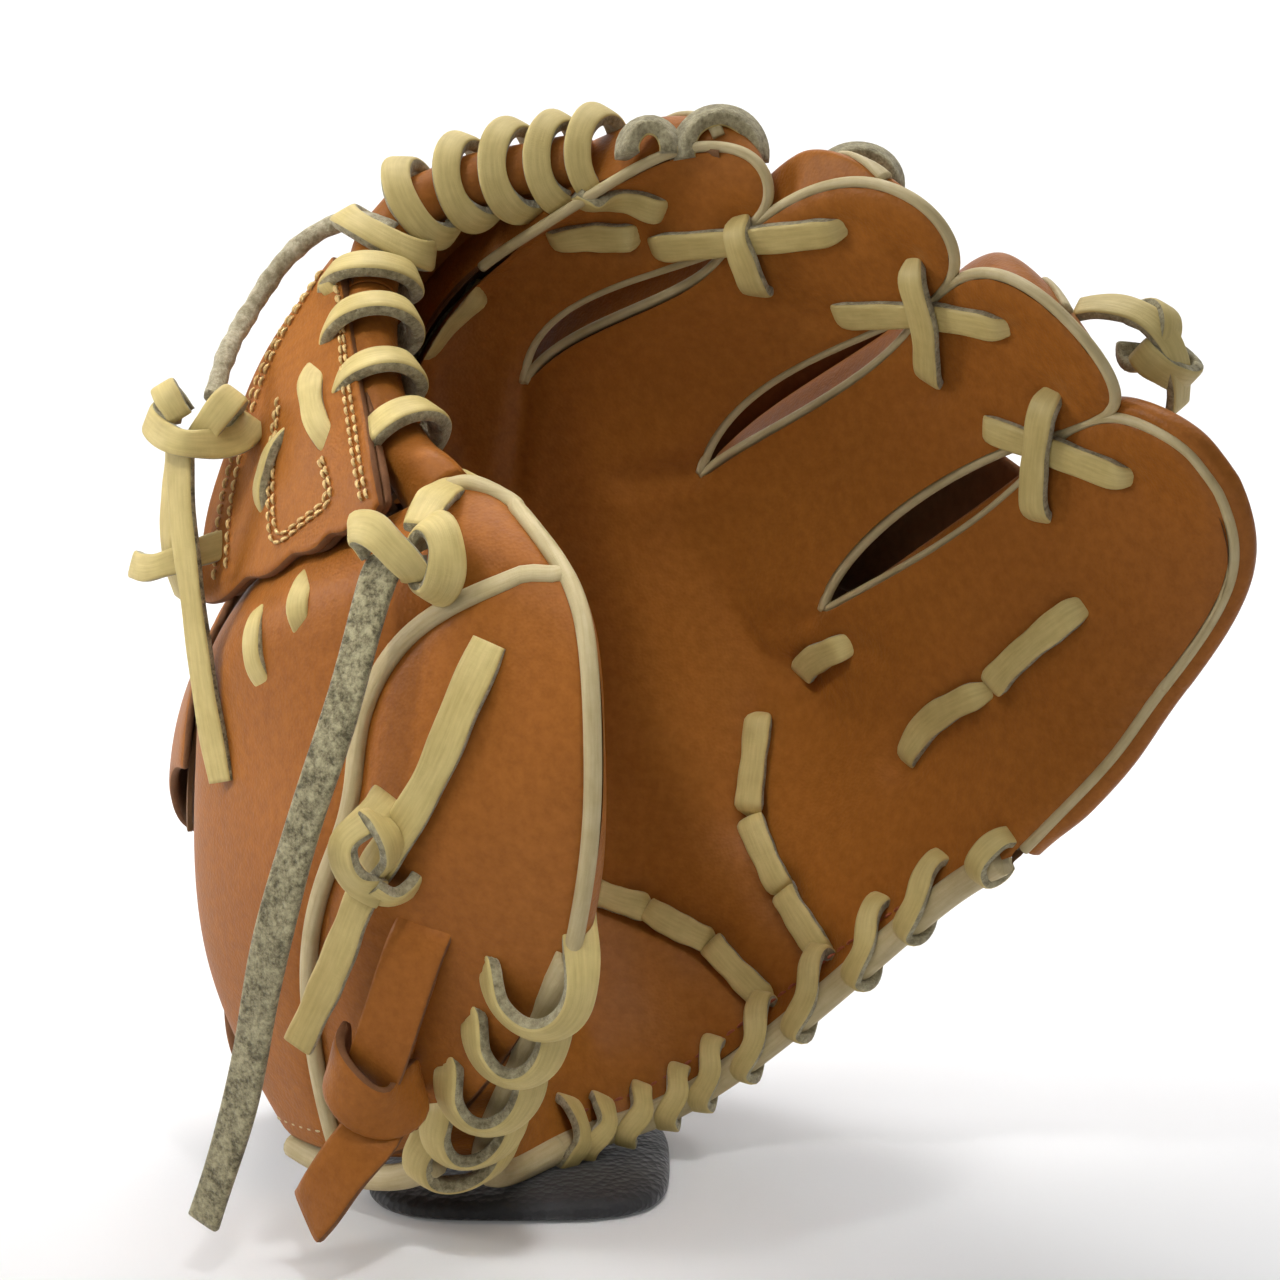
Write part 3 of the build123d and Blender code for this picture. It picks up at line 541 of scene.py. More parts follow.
# ---- relief: how laces and pads shape the hide --------------------------------------------------
THUMB_ROW = [(3.35, 1.21), (3.81, 1.04), (4.25, 0.75), (4.53, 0.30)]
LITTLE_ROW = [(5.15, 1.75), (4.84, 1.23), (4.96, 0.79), (5.13, 0.33)]
EDGE_ROW = [(6.17, 1.49), (6.60, 2.70), (6.65, 3.52)]
CROTCH_ROW = [(5.86, 2.30), (6.16, 2.86)]
HEEL_HOLES = [(2.16, 0.34), (2.56, 0.28), (3.08, 0.26), (3.56, 0.24), (3.98, 0.26), (4.53, 0.30), (5.13, 0.33),
              (5.78, 0.38), (6.32, 0.52)]
CROSSES = [((3.76, 4.13), (4.37, 4.74), (3.92, 4.53), (4.37, 4.03)),
           ((4.70, 4.05), (5.36, 4.69), (4.77, 4.70), (5.40, 4.02)),
           ((5.74, 4.05), (6.40, 4.36), (5.75, 4.52), (6.32, 3.82))]
WEB_TIES = [((3.05, 4.70), (3.62, 4.44)), ((3.28, 4.17), (3.66, 4.20)), ((2.96, 3.40), (3.27, 3.68))]


def segment_distance(points, start, finish):
    span = finish - start
    share = np.clip((points - start) @ span / (span @ span), 0, 1)
    return np.linalg.norm(points - start - share[:, None] * span, axis=1)


def pocket_relief(points):
    """Depth in mm that the pocket hide is pulled in by the laces, less where felt fills it out."""
    depth = np.zeros(len(points))
    for row in (THUMB_ROW, LITTLE_ROW, EDGE_ROW, CROTCH_ROW):
        for start, finish in zip(row[:-1], row[1:]):
            far = segment_distance(points, FRONT.at(*start), FRONT.at(*finish))
            depth += 1.5 * np.exp(-(far / 6.0)**2)
        for hole in row:
            far = np.linalg.norm(points - FRONT.at(*hole), axis=1)
            depth += 1.8 * np.exp(-(far / 3.4)**2)
    for hole in [h for cross in CROSSES for h in cross] + [h for tie in WEB_TIES for h in tie]:
        far = np.linalg.norm(points - FRONT.at(*hole), axis=1)
        depth += 2.2 * np.exp(-(far / 3.6)**2)
    for hole in HEEL_HOLES:
        far = np.linalg.norm(points - FRONT.at(*hole), axis=1)
        depth += 1.5 * np.exp(-(far / 3.2)**2)
    for place_of_pad, size, height in (((3.3, 0.62), 17, 2.4), ((5.9, 1.0), 17, 1.8), ((6.1, 1.9), 15, 1.2)):
        far = np.linalg.norm(points - FRONT.at(*place_of_pad), axis=1)
        depth -= height * np.exp(-(far / size)**2)
    return depth


def crease_relief(points):
    """Soft folds that run from the crotches and the thumb's root into the pocket."""
    depth = np.zeros(len(points))
    folds = [((4.02, 2.98), (3.86, 2.55), 1.5, 2.4), ((4.95, 2.98), (4.60, 2.70), 1.9, 2.6),
             ((4.95, 2.90), (4.80, 2.40), 0.5, 4.2), ((5.98, 2.95), (5.80, 2.72), 1.2, 2.4),
             ((3.2, 3.1), (3.5, 2.5), 1.0, 3.4), ((2.4, 2.7), (3.3, 2.0), 1.2, 4.5),
             ((2.4, 2.1), (3.2, 1.6), 0.9, 4.0), ((2.3, 1.4), (2.7, 0.7), 1.1, 4.0)]
    for start, finish, height, width in folds:
        far = segment_distance(points, FRONT.at(*start), FRONT.at(*finish))
        depth += height * np.exp(-(far / width)**2)
        depth -= 0.45 * height * np.exp(-((far - 2.2 * width) / width)**2)
    return depth


# ---- stalls -------------------------------------------------------------------------------------
def slit(s):
    """Half the gap beside a stall, in columns: on its right side and on its left side."""
    eye = np.sin(np.clip(s / 0.62, 0, 1) * np.pi)
    return 0.022 + 0.105 * eye, 0.022 + 0.135 * eye


def stall_place(k, x, s):
    """Column and row of a place on stall k: x across from -1 to 1, s from crotch to tip."""
    right_gap, left_gap = slit(s)
    left = 3 + k + (left_gap if k > 0 else 0.0)
    right = 4 + k - (right_gap if k < 3 else 0.0)
    shoulder = np.clip((s - 0.70) / 0.30, 0, 1)
    fullness = (1 - shoulder**2.4)**(1 / 2.2)
    return (left + right) / 2 + (right - left) / 2 * fullness * x, CROTCH + (TIP_ROW[k] - CROTCH) * s


def tip_steps(count, reach=0.992):
    return np.sin(np.linspace(0, np.pi / 2 * reach, count))


INDEX_PIPING = 26           # how far up the index stall its left piping comes out of the web
ACROSS = 13                 # places across a stall's front
UP = 26                     # rows from crotch to tip


def edge_roll(points, normals, outline, drop=SEAM_DROP, width=5.0):
    """Rolls hide back towards its seam near an outline."""
    far = np.full(len(points), 1e9)
    for spot in range(0, len(points), 400):
        part = points[spot:spot + 400]
        far[spot:spot + 400] = np.linalg.norm(part[:, None] - outline[None], axis=2).min(1)
    near = np.clip(1 - far / width, 0, 1)
    return points + normals * (drop * (1 - np.sqrt(1 - near**2.6 * 0.999)))[:, None]


def stall_outline(k, count=60, reach=0.992):
    """Flat edge of stall k: up its left side, round the tip and down its right side."""
    s = tip_steps(count, reach)
    left = stall_place(k, -1.0, s)
    tip = stall_place(k, np.linspace(-1, 1, 7)[1:-1], np.full(5, s[-1]))
    right = stall_place(k, 1.0, s[::-1])
    u = np.concatenate([left[0], tip[0], right[0]])
    v = np.concatenate([left[1], tip[1], right[1]])
    return u, v


def palm_leather():
    """One hide for the pocket and the four stall fronts, cut by the slits."""
    columns, owner = [], []
    columns += list(np.linspace(SPLIT, 3.0, 9)[:-1])
    for k in range(4):
        x = np.sin(np.linspace(-np.pi / 2, np.pi / 2, ACROSS) * 0.92) / np.sin(np.pi / 2 * 0.92)
        owner.append(len(columns))
        columns += list(stall_place(k, x, 0.0)[0])
    columns = np.array(columns)
    first = owner[0]
    rows = np.linspace(HEM, CROTCH, 44)
    u, v = np.meshgrid(columns, rows)
    edge = 6.95
    u = np.minimum(u, edge)
    places = [np.stack([u.ravel(), v.ravel()], 1)]
    faces = grid_faces(len(rows), len(columns))
    base = (len(rows) - 1) * len(columns)
    count = len(rows) * len(columns)
    steps = tip_steps(UP)[1:]
    x = np.sin(np.linspace(-np.pi / 2, np.pi / 2, ACROSS) * 0.92) / np.sin(np.pi / 2 * 0.92)
    for k in range(4):
        xx, ss = np.meshgrid(x, steps)
        su, sv = stall_place(k, xx, ss)
        places.append(np.stack([np.minimum(su, edge).ravel(), sv.ravel()], 1))
        lower = [base + owner[k] + j for j in range(ACROSS)]
        for i in range(len(steps)):
            upper = [count + i * ACROSS + j for j in range(ACROSS)]
            faces += [(lower[j], lower[j + 1], upper[j + 1], upper[j]) for j in range(ACROSS - 1)]
            lower = upper
        count += len(steps) * ACROSS
    lower = [base + j for j in range(first + 1)]
    for i, row in enumerate(stall_place(0, -1.0, steps)[1]):
        if row > WEB_HEM:
            break
        reach = blend(0.40, 1.0, (columns[:first] - SPLIT) / (3.0 - SPLIT))
        places.append(np.stack([columns[:first], CROTCH + (row - CROTCH) * reach], 1))
        upper = [count + j for j in range(first)] + [base + len(columns) + i * ACROSS]
        faces += [(lower[j], lower[j + 1], upper[j + 1], upper[j]) for j in range(first)]
        lower = upper
        count += first
    uv = np.vstack(places)
    flat, normal = FRONT.at(uv[:, 0], uv[:, 1]), FRONT.normal(uv[:, 0], uv[:, 1])
    outlines = []
    for k in range(4):
        ou, ov = stall_outline(k, 40)
        seam = FRONT.at(np.minimum(ou, edge), ov)
        outlines.append(seam[12:] if k else seam[(ov > WEB_HEM) | (ou > 3.2)])
    side = np.linspace(0.1, CROTCH, 60)
    outlines.append(FRONT.at(edge + 0 * side, side))
    outline = np.vstack(outlines)
    points = edge_roll(flat, normal, outline)
    points = points + normal * (pocket_relief(flat) + crease_relief(flat))[:, None]
    along = np.cross(points[1] - points[0], points[len(columns)] - points[0])
    if np.dot(along, normal[0]) > 0:
        faces = [face[::-1] for face in faces]
    made = mesh_object("palm_leather", points, faces, [TAN, LINING, TAN_EDGE])
    thicken(made)
    made.modifiers["hide"].use_rim = False
    return made


def stall_seam(k, depth, outward, count=70):
    """Run of points along a stall's seam, at a depth and a distance outside its flat edge."""
    u, v = stall_outline(k, count)
    flat = FRONT.at(np.minimum(u, 6.95), v)
    normal = FRONT.normal(u, v)
    forward = unit(np.gradient(flat, axis=0))
    out = unit(np.cross(forward, normal))
    return flat + normal * depth + out * outward, normal


def stall_back(k):
    """Rounded back of a stall: rows from the crotch over a blunt tip, columns from its left seam to its right."""
    turn = np.linspace(0, np.pi / 2, 13)
    low = tip_steps(40, 0.992)
    s = np.concatenate([low[low < 0.87], 0.88 + 0.116 * np.sin(turn)])
    height = np.concatenate([np.ones(len(s) - len(turn)), np.cos(turn)**0.62])
    angle = np.linspace(0, np.pi, 29)
    c, h = np.cos(angle), np.sin(angle)
    left_u, left_v = stall_place(k, -1.0, s)
    right_u, right_v = stall_place(k, 1.0, s)
    full = smooth(h / 0.45)[None] * smooth((0.75 - s) / 0.15)[:, None]
    wide_left, wide_right = 3 + k + 0.035, 4 + k - 0.035
    left_u = blend(left_u[:, None], np.minimum(left_u, wide_left)[:, None], full)
    right_u = np.minimum(blend(right_u[:, None], np.maximum(right_u, wide_right)[:, None], full), 6.97)
    seam = SEAM_DROP + 0.9
    left = FRONT.at(left_u, left_v[:, None]) + FRONT.normal(left_u, left_v[:, None]) * seam
    right = FRONT.at(right_u, right_v[:, None]) + FRONT.normal(right_u, right_v[:, None]) * seam
    middle, half = (left + right) / 2, (right - left) / 2
    mid_u = stall_place(k, 0.0, s)[0]
    back = REAR.at(mid_u, CROTCH + (BACK_TIP_ROW[k] - CROTCH) * s)
    crown = np.array(TIP_CROWN[k]) * smooth((s - 0.45) / 0.45)[:, None]
    deep = (back + crown - middle[:, 14]) * height[:, None]
    across = (-np.sign(c) * np.abs(c)**0.75)[None, :, None]
    grid = middle + half * across + deep[:, None] * (h**0.8)[None, :, None]
    outward = half * across + deep[:, None] * h[None, :, None]
    return shell(FINGERS[k] + "_back_hide", grid, outward), grid


EDGE_ROLL = section(6.4, 5.0, 14, 0.9)      # the back hide where it turns round the little finger's edge


def little_edge():
    """Piping and rolled hide down the palm's little-finger edge, from the crotch row to the heel."""
    rows = np.linspace(CROTCH + 0.12, 0.32, 70)
    side = 0 * rows + 6.95
    inward = FRONT.normal(side, rows)
    edge = FRONT.at(side, rows)
    out = unit(np.cross(unit(np.gradient(edge, axis=0)), inward))
    piping, roll = Pile(), Pile()
    tube(piping, edge + inward * (SEAM_DROP + 0.2) + out * 0.7, -inward, PIPING, 1.0)
    bend_with_fingers(piping.build("little_edge_piping", [TRIM]))
    sweep(roll, edge + inward * (SEAM_DROP + 2.6) + out * 0.6, -inward, EDGE_ROLL, 0.4 + 0.6 * smooth((rows - 0.3) / 0.9), False)
    bend_with_fingers(roll.build("little_edge_hide", [TAN]))


def strip_on(pile, grid, row_slice, column, width, height=1.5):
    """Welt strip that follows a column of a grid."""
    path = grid[row_slice, column]
    forward = unit(np.gradient(path, axis=0))
    side = unit(grid[row_slice, min(column + 1, grid.shape[1] - 1)] - grid[row_slice, column - 1])
    up = unit(np.cross(side, forward))
    away = path - grid.mean((0, 1))
    up = up * np.sign(np.sum(up * away, axis=1, keepdims=True))
    run = fair(np.hstack([path + up * 0.4, up * 10]), 1.5)
    return sweep(pile, run[:, :3], unit(run[:, 3:]), section(width, height, 14, 0.7), None, False)


def fingers():
    welts = Pile()
    for k, name in enumerate(FINGERS):
        back, grid = stall_back(k)
        stands_for(back, "fingers", name + "_back", name + "_front", name + "_lining")
        strip_on(welts, grid, slice(6, len(grid) - 1), 14, 2.8)
        piping = Pile()
        line, normal = stall_seam(k, SEAM_DROP + 0.2, 0.7)
        if k == 0:
            line, normal = line[INDEX_PIPING:], normal[INDEX_PIPING:]
        tube(piping, line, -normal, PIPING, 1.0)
        stands_for(piping.build(name + "_seam_piping", [TRIM]), "fingers", name + "_piping")
    line, normal = stall_seam(3, SEAM_DROP + 2.6, 0.6)
    roll = sweep(Pile(), line[38:-2], -normal[38:-2], EDGE_ROLL, None, False)
    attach(roll.build("little_back_edge", [TAN]), "fingers")
    stands_for(welts.build("stall_welts", [TRIM]), "fingers", "finger_welts")
    little_edge()
    for k, top in enumerate((4.05, 4.15, 3.86)):
        u, v = np.meshgrid(np.linspace(3.72, 4.12, 9) + k + 0.46, np.linspace(2.80, top, 16))
        u = u - 0.12 * k
        gusset = shell(FINGERS[k] + "_side_gusset", REAR.lift(u, v, -3.5), -REAR.normal(u, v))
        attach(gusset, "fingers")


def hidden_parts():
    """Felt strips and linings stay hidden behind the hide; the CAD nodes get real materials."""
    felt = flesh_material("wool_felt", (0.45, 0.42, 0.36), (0.70, 0.67, 0.60))
    board = grain_material("stiffener_board", (0.80, 0.80, 0.76), (0.70, 0.70, 0.66))
    for node, one in frame["nodes"].items():
        name = node
        if name in ("finger_pads", "palm_pad", "heel_pads", "thumb_pad"):
            finish = felt
        elif name == "thumb_stiffener":
            finish = board
        elif name in ("palm_lining", "thumb_lining", "back_lining", "wrist_strap_lining"):
            finish = LINING
        else:
            continue
        one.data.materials.clear()
        one.data.materials.append(finish)


# ---- thumb --------------------------------------------------------------------------------------
def welt_column(v):
    """Column of the welt that splits the thumb's outside, from its heel up to the front edge."""
    places = np.array([1.62, 1.24, 0.97, 0.94, 0.68, 0.20])
    return spline_weights(6, np.clip(np.asarray(v, float), 0, 4).ravel() / 4 * 5).dot(places).reshape(np.shape(v))


def thumb_leather():
    """Pocket side of the thumb, puffed out past its front seam."""
    u = np.concatenate([np.linspace(0.0, 0.5, 10), np.linspace(0.5, SPLIT, 26)[1:]])
    uu, share = np.meshgrid(u, np.linspace(0, 1, 60))
    vv = blend(HEM, 5.0 - 1.5 * smooth((uu - 1.7) / 0.7), share)
    bulge = 3.6 * np.sin(np.pi * np.clip(np.sqrt(uu / 1.1), 0, 1)) * smooth((5.0 - vv) / 0.9) * smooth(vv / 0.5 + 0.2)
    base = FRONT.at(uu, vv)
    depth = (pocket_relief(base.reshape(-1, 3)) + crease_relief(base.reshape(-1, 3))).reshape(uu.shape)
    depth = depth * smooth((uu - 0.6) / 0.8)
    grid = base - FRONT.normal(uu, vv) * (bulge - depth)[..., None]
    made = shell("thumb_leather", grid, -FRONT.normal(uu, vv))
    made.modifiers["hide"].use_rim = False
    return made


def thumb_sole():
    """Hide that closes the thumb's heel between its two sides."""
    u, share = np.meshgrid(np.linspace(0.06, 1.96, 40), np.linspace(0.08, 0.92, 10))
    v = 0.14 + 0 * u
    grid = blend(REAR.at(u, v), FRONT.at(u, v), share[..., None])
    piece = shell("thumb_heel_sole", grid, np.broadcast_to((0.0, 0.0, -1.0), grid.shape), 1.6)
    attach(piece, "thumb")


def thumb_outside():
    """Outer panels, split by the welt."""
    v = np.linspace(0.14, 4.95, 56)
    puff = 1.6

    def panel(name, low, high, rows):
        a = np.linspace(0, 1, 16)
        grid, outward = np.zeros((len(rows), 16, 3)), np.zeros((len(rows), 16, 3))
        for index, row in enumerate(rows):
            u = blend(low(row), high(row), a)
            lift = puff * (1 - (2 * a - 1)**6) * smooth((5.0 - row) / 0.8)
            grid[index] = REAR.lift(u, row + 0 * u, lift)
            outward[index] = -REAR.normal(u, row + 0 * u)
        return shell(name, grid, outward)

    outer = panel("thumb_outer_hide", lambda r: 0.035, lambda r: float(welt_column(r)), v[v < 3.93])
    back = panel("thumb_back_hide", lambda r: float(welt_column(r)) if r < 3.98 else 0.035, lambda r: 1.97, v)
    stands_for(outer, "thumb", "thumb_outer_panel")
    stands_for(back, "thumb", "thumb_back_panel", "thumb_tip_panel")
    trim = Pile()
    rows = np.linspace(0.12, 4.0, 70)
    column = blend(welt_column(rows), 0.06, smooth((rows - 3.85) / 0.15))
    path = REAR.lift(column, rows, 1.1)
    sweep(trim, path, -REAR.normal(column, rows), section(4.0, 2.8, 16, 0.8), None, False)
    stands_for(trim.build("thumb_side_welt", [TRIM]), "thumb", "thumb_welt")
    piping = Pile()
    rows = np.linspace(0.06, 4.92, 64)
    path = REAR.at(0.03 + 0 * rows, rows)
    left = unit(REAR.at(0.2 + 0 * rows, rows) - path)
    inward = REAR.normal(0.1 + 0 * rows, rows)
    path = np.vstack([path - inward * 0.8 + left * 0.1, [(-5, -35, 164.5), (-9.5, -33, 165), (-13.5, -31, 163.5)]])
    tube(piping, path, np.vstack([-inward, [(0, -0.7, 0.7)] * 3]), 1.8, 1.0)
    stands_for(piping.build("thumb_edge_piping", [TRIM]), "thumb", "thumb_piping")


def edge_place(u):
    """Middle of the heel's rolled binding: at the thumb's heel for u under 2, then along the palm."""
    u = np.asarray(u, float)
    low = FRONT.at(u, 0 * u)
    up = FRONT.at(u, 0 * u + 0.08) - low
    return low + unit(up) * 2.6 + FRONT.normal(u, 0 * u) * 0.8


def bindings():
    """Rolled binding round the thumb's heel and along the palm's lower edge."""
    for name, body, node, start, stop in (("thumb_heel_roll", "thumb", None, 0.02, 1.97),
                                          ("palm_heel_roll", "palm", "heel_binding", 1.97, 6.9)):
        u = np.linspace(start, stop, 60)
        roll = Pile()
        tube(roll, edge_place(u), FRONT.normal(u, 0 * u), BINDING, 1.3)
        piece = roll.build(name, [TRIM])
        stands_for(piece, body, *([node] if node else []))
    u = np.linspace(0.98, 1.98, 30)
    roll = Pile()
    tube(roll, REAR.lift(u, 0.06 + 0 * u, 0.4), -REAR.normal(u, 0 * u), BINDING * 0.9, 1.3)
    stands_for(roll.build("thumb_back_roll", [TRIM]), "thumb", "thumb_binding")
    sew = Pile()
    u = np.linspace(2.15, 6.8, 120)
    v = 0.245 + 0 * u
    stitches(sew, FRONT.lift(u, v, 0.1), -FRONT.normal(u, v), 3.0, 2.0, 0.34)
    stands_for(sew.build("heel_stitching", [RED_THREAD]), "palm")
    sew = Pile()
    u = np.linspace(1.05, 1.95, 40)
    v = 0.24 + 0 * u
    stitches(sew, REAR.lift(u, v, 0.9), -REAR.normal(u, v), 3.0, 2.0, 0.36)
    stands_for(sew.build("thumb_heel_stitching", [TRIM]), "thumb")


# ---- laces --------------------------------------------------------------------------------------
def surface_stitch(pile, sheet, start, finish, rise=1.6, sink=4.0, width=LACE_WIDTH, over=0.0):
    """Lace that comes up out of a hole, runs along the skin and dives into the next hole."""
    share = np.array([0.0, 0.05, 0.16, 0.5, 0.84, 0.95, 1.0])
    height = np.array([-sink, -0.6, rise * 0.9, rise + over, rise * 0.9, -0.6, -sink])
    u, v = blend(start[0], finish[0], share), blend(start[1], finish[1], share)
    path = sheet.lift(u, v, height)
    up = -sheet.normal(u, v)
    return lace(pile, path, up, width, taper=0.45)


def palm_laces():
    for name, row, node in (("palm_thumb_side_lace", THUMB_ROW, "palm_lace_thumb_row"),
                            ("palm_little_side_lace", LITTLE_ROW, "palm_lace_little_row"),
                            ("little_side_lace", EDGE_ROW, "little_edge_lace"),
                            ("crotch_tie", CROTCH_ROW, "crotch_lace")):
        pile = Pile()
        for start, finish in zip(row[:-1], row[1:]):
            trim = 0.03
            inner = (blend(start[0], finish[0], trim), blend(start[1], finish[1], trim))
            outer = (blend(start[0], finish[0], 1 - trim), blend(start[1], finish[1], 1 - trim))
            surface_stitch(pile, FRONT, inner, outer, 0.3)
        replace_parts(bend_with_fingers(pile.build(name, [GRAIN, EDGE])), node)


def hoop(pile, centre, first, second, start, stop, flare=(0, 0, 0), width=LACE_WIDTH, shift=(0, 0, 0), flip=1,
         thick=LACE_THICK):
    """Lace bent round a centre, from `first` at 0 degrees to `second` at 90; flare tips its grain side towards a way."""
    angle = np.radians(np.linspace(start, stop, 15))
    radius = np.cos(angle)[:, None] * np.asarray(first, float) + np.sin(angle)[:, None] * np.asarray(second, float)
    travel = np.linspace(-0.5, 0.5, 15)[:, None] * np.asarray(shift, float)
    lace(pile, np.asarray(centre) + radius + travel, unit(unit(radius) * flip + np.asarray(flare)), width, thick)


def heel_laces():
    """Lace wound over the palm's heel roll, one turn out of each hole."""
    pile = Pile()
    places = HEEL_HOLES + [(6.80, 0.55)]
    for index, (u, v) in enumerate(places):
        spacing = places[min(index + 1, len(places) - 1)][0] - places[max(index - 1, 0)][0]
        lean = 0.30 * spacing * (index < len(places) - 1)
        hole = FRONT.at(u, v)
        inward = FRONT.normal(u, v)
        core = edge_place(u - lean * 0.5)
        foot = edge_place(u - lean)
        up = unit(hole - core)
        turn = BINDING + 1.0
        path = [hole + inward * 3.5, hole - inward * 0.8, blend(hole, core, 0.45) - inward * (turn * 0.72 + 0.9),
                core - inward * (turn + 0.6), foot - up * turn * 0.62 - inward * turn * 0.78, foot - up * (turn - 0.2),
                foot - up * turn * 0.3 + inward * turn * 0.7, foot + inward * (turn - 0.8) + up * 1.5]
        middle = core + inward * 0.5
        tip = unit(edge_place(u + 0.1) - edge_place(u - 0.1)) * 0.35
        ups = [-inward + up * 0.6 + tip] * 2 + [unit(np.array(p) - middle) + tip for p in path[2:]]
        lace(pile, path, ups, 5.1)
    stands_for(pile.build("heel_lacing", [GRAIN, EDGE]), "palm", "heel_lace")


def ladder():
    """Slack turns of lace round the thumb's heel: each hangs from its hole and rises to the palm's side."""
    pile = Pile()
    holes = [(0.43, 0.60), (0.54, 0.43), (0.71, 0.33), (0.82, 0.23), (0.92, 0.17)]
    ends = [0.03, 0.24, 0.46, 0.66, 0.86]
    for (u, v), end in zip(holes, ends):
        hole, foot = REAR.at(u, v), edge_place(end)
        away = -REAR.normal(u, v)
        foot = foot + unit(foot - hole) * 3.5
        side = unit(foot - hole)
        toward = unit(away - side * np.dot(away, side))
        down = unit(np.cross(side, toward))
        down = down * -np.sign(down[2])
        span = np.linalg.norm(foot - hole)
        angle = np.radians([196, 182, 202, 225, 250, 275, 300, 325, 350, 372, 392, 404])
        rise = np.array([-4.0, 0.6, 3.4, 5.0, 5.8, 6.0, 5.6, 4.8, 3.4, 0.6, -3.5, -7.0])
        middle = (hole + foot) / 2 + down * 1.0
        spoke = side * np.cos(angle)[:, None] * span * 0.5 - down * np.sin(angle)[:, None] * (0.30 * span + 5.5)
        lace(pile, middle + spoke + toward * rise[:, None], unit(spoke) * 0.8 + toward * 1.15, 7.0, 3.2)
    stands_for(pile.build("thumb_heel_lacing", [GRAIN, EDGE]), "thumb", "thumb_ladder_lace")


def finger_laces():
    pile = Pile()
    for a, b, c, d in CROSSES:
        surface_stitch(pile, FRONT, a, b, 0.4)
        surface_stitch(pile, FRONT, c, d, 2.4, over=0.6)
    for start, finish in WEB_TIES:
        surface_stitch(pile, FRONT, start, finish, 0.8)
    for centre, half, rise in (((28, 20, 228), 4.8, 5.4), ((43, 20, 227.5), 8.0, 8.0), ((72, 14, 222), 7.5, 6.0)):
        hoop(pile, centre, (half, 0, 0), (0, 2, rise), -10, 190, flare=(0, 0.5, 0), width=6.8, flip=-1, thick=3.6)
    stands_for(pile.build("stall_lacing", [GRAIN, EDGE]), "fingers", "fingertip_lace")


def thumb_ties():
    """Knotted tie on the outside of the thumb, with its two ends."""
    pile = Pile()
    out = np.array((-0.35, -0.93, 0.1))
    lace(pile, [(-27, -52, 90), (-23, -58, 97), (-15, -61, 111), (-9, -62, 125), (-3, -59, 138)],
         [out, out, (-0.2, -0.95, 0.2), (-0.3, -0.9, 0.3), (-0.3, -0.9, 0.2)], 7.4)
    lace(pile, [(-2, -49, 122), (-6, -55, 119), (-13, -56, 110), (-21, -55, 99)], out, 6.0)
    lace(pile, [(-27, -56, 90), (-30, -57, 84), (-35, -54, 71), (-43, -50, 53)], out, 6.8)
    face = np.array((0.1, -1.0, 0.15))
    lace(pile, [(-24, -55, 106), (-27, -60, 103), (-31, -62, 100), (-32, -62, 96), (-30, -61, 91), (-25, -59, 87.5)],
         [face, face + (-0.3, 0, 0.4), face + (-0.8, 0, 0.2), face + (-0.9, 0, 0), face + (-0.7, 0, -0.6), face], 6.4, 3.0)
    lace(pile, [(-27, -60, 89), (-23, -58, 86.5), (-19, -55, 88), (-17.5, -52, 91), (-18.5, -49, 96)],
         [(-0.2, -0.8, -0.9), (0.2, -0.6, -1), (0.8, -0.4, -0.6), (1, -0.2, 0), (0.9, 0, 0.4)], 6.0, 3.0)
    lace(pile, [(-27, -59, 104), (-23.5, -62.5, 101), (-22.5, -61, 96), (-25, -56, 91)],
         [(0.6, -0.6, 0.6), (0.9, -0.6, 0), (0.9, -0.6, -0.3), (0.7, -0.5, -0.5)], 5.6)
    stands_for(pile.build("thumb_tie", [GRAIN, EDGE]), "thumb", "thumb_tie_lace")


def thumb_loop():
    """Folded hide loop for the thumb, knotted at its foot."""
    pile = Pile()
    out = unit((-0.25, -0.95, 0.15))
    wide = unit((0.95, -0.25, -0.2))
    hide = section(12.4, 2.6, 16, 0.42)

    def strap(points, ups):
        run = fair(np.hstack([np.array(points, float), unit(np.array(ups, float)) * 10]), 1.5)
        sweep(pile, run[:, :3], unit(run[:, 3:]), hide)

    strap([(-14, -46, 82), (-16, -52, 80), (-19, -54, 74), (-23, -53, 62), (-27, -51, 50), (-29, -47, 44)],
          [out + (0, 0, 0.9), out + (0, 0, 0.5), out, out, out, out])
    strap([(-13, -46, 79), (-14, -47, 70), (-19, -46, 58), (-23, -45, 47)], [wide] * 4)
    strap([(-20, -44, 45), (-21, -49, 41), (-26, -54, 40), (-32, -54, 43), (-36, -49, 48), (-34, -43, 50)],
          [wide, wide + out, out - (0, 0, 0.3), out - (0.4, 0, 0.2), (-1, -0.3, 0.2), (-0.6, 0.8, 0.2)])
    strap([(-27, -46, 36), (-29, -51, 34), (-34, -52, 28), (-39, -50, 20), (-42, -47, 15)],
          [out, out, out + (0, 0, 0.4), out + (0, 0, 0.5), out + (0, 0, 0.5)])
    stands_for(pile.build("thumb_loop_strap", [TAN, TAN_EDGE]), "thumb", "thumb_loop")


def tail_lace(name, node, body, points, ups, width, grain_out):
    pile = Pile()
    flip = 1 if grain_out else -1
    lace(pile, points, np.asarray(ups, float) * flip, width, 2.2, wander=0.4)
    stands_for(pile.build(name, [GRAIN, FLESH]), body, node)


LONG_TAIL = [(-22, -50, 153), (-25, -55, 148), (-31, -60, 127), (-38, -61, 107),
             (-45, -60, 85), (-50, -57, 65), (-55, -52, 42), (-64, -45, 13)]


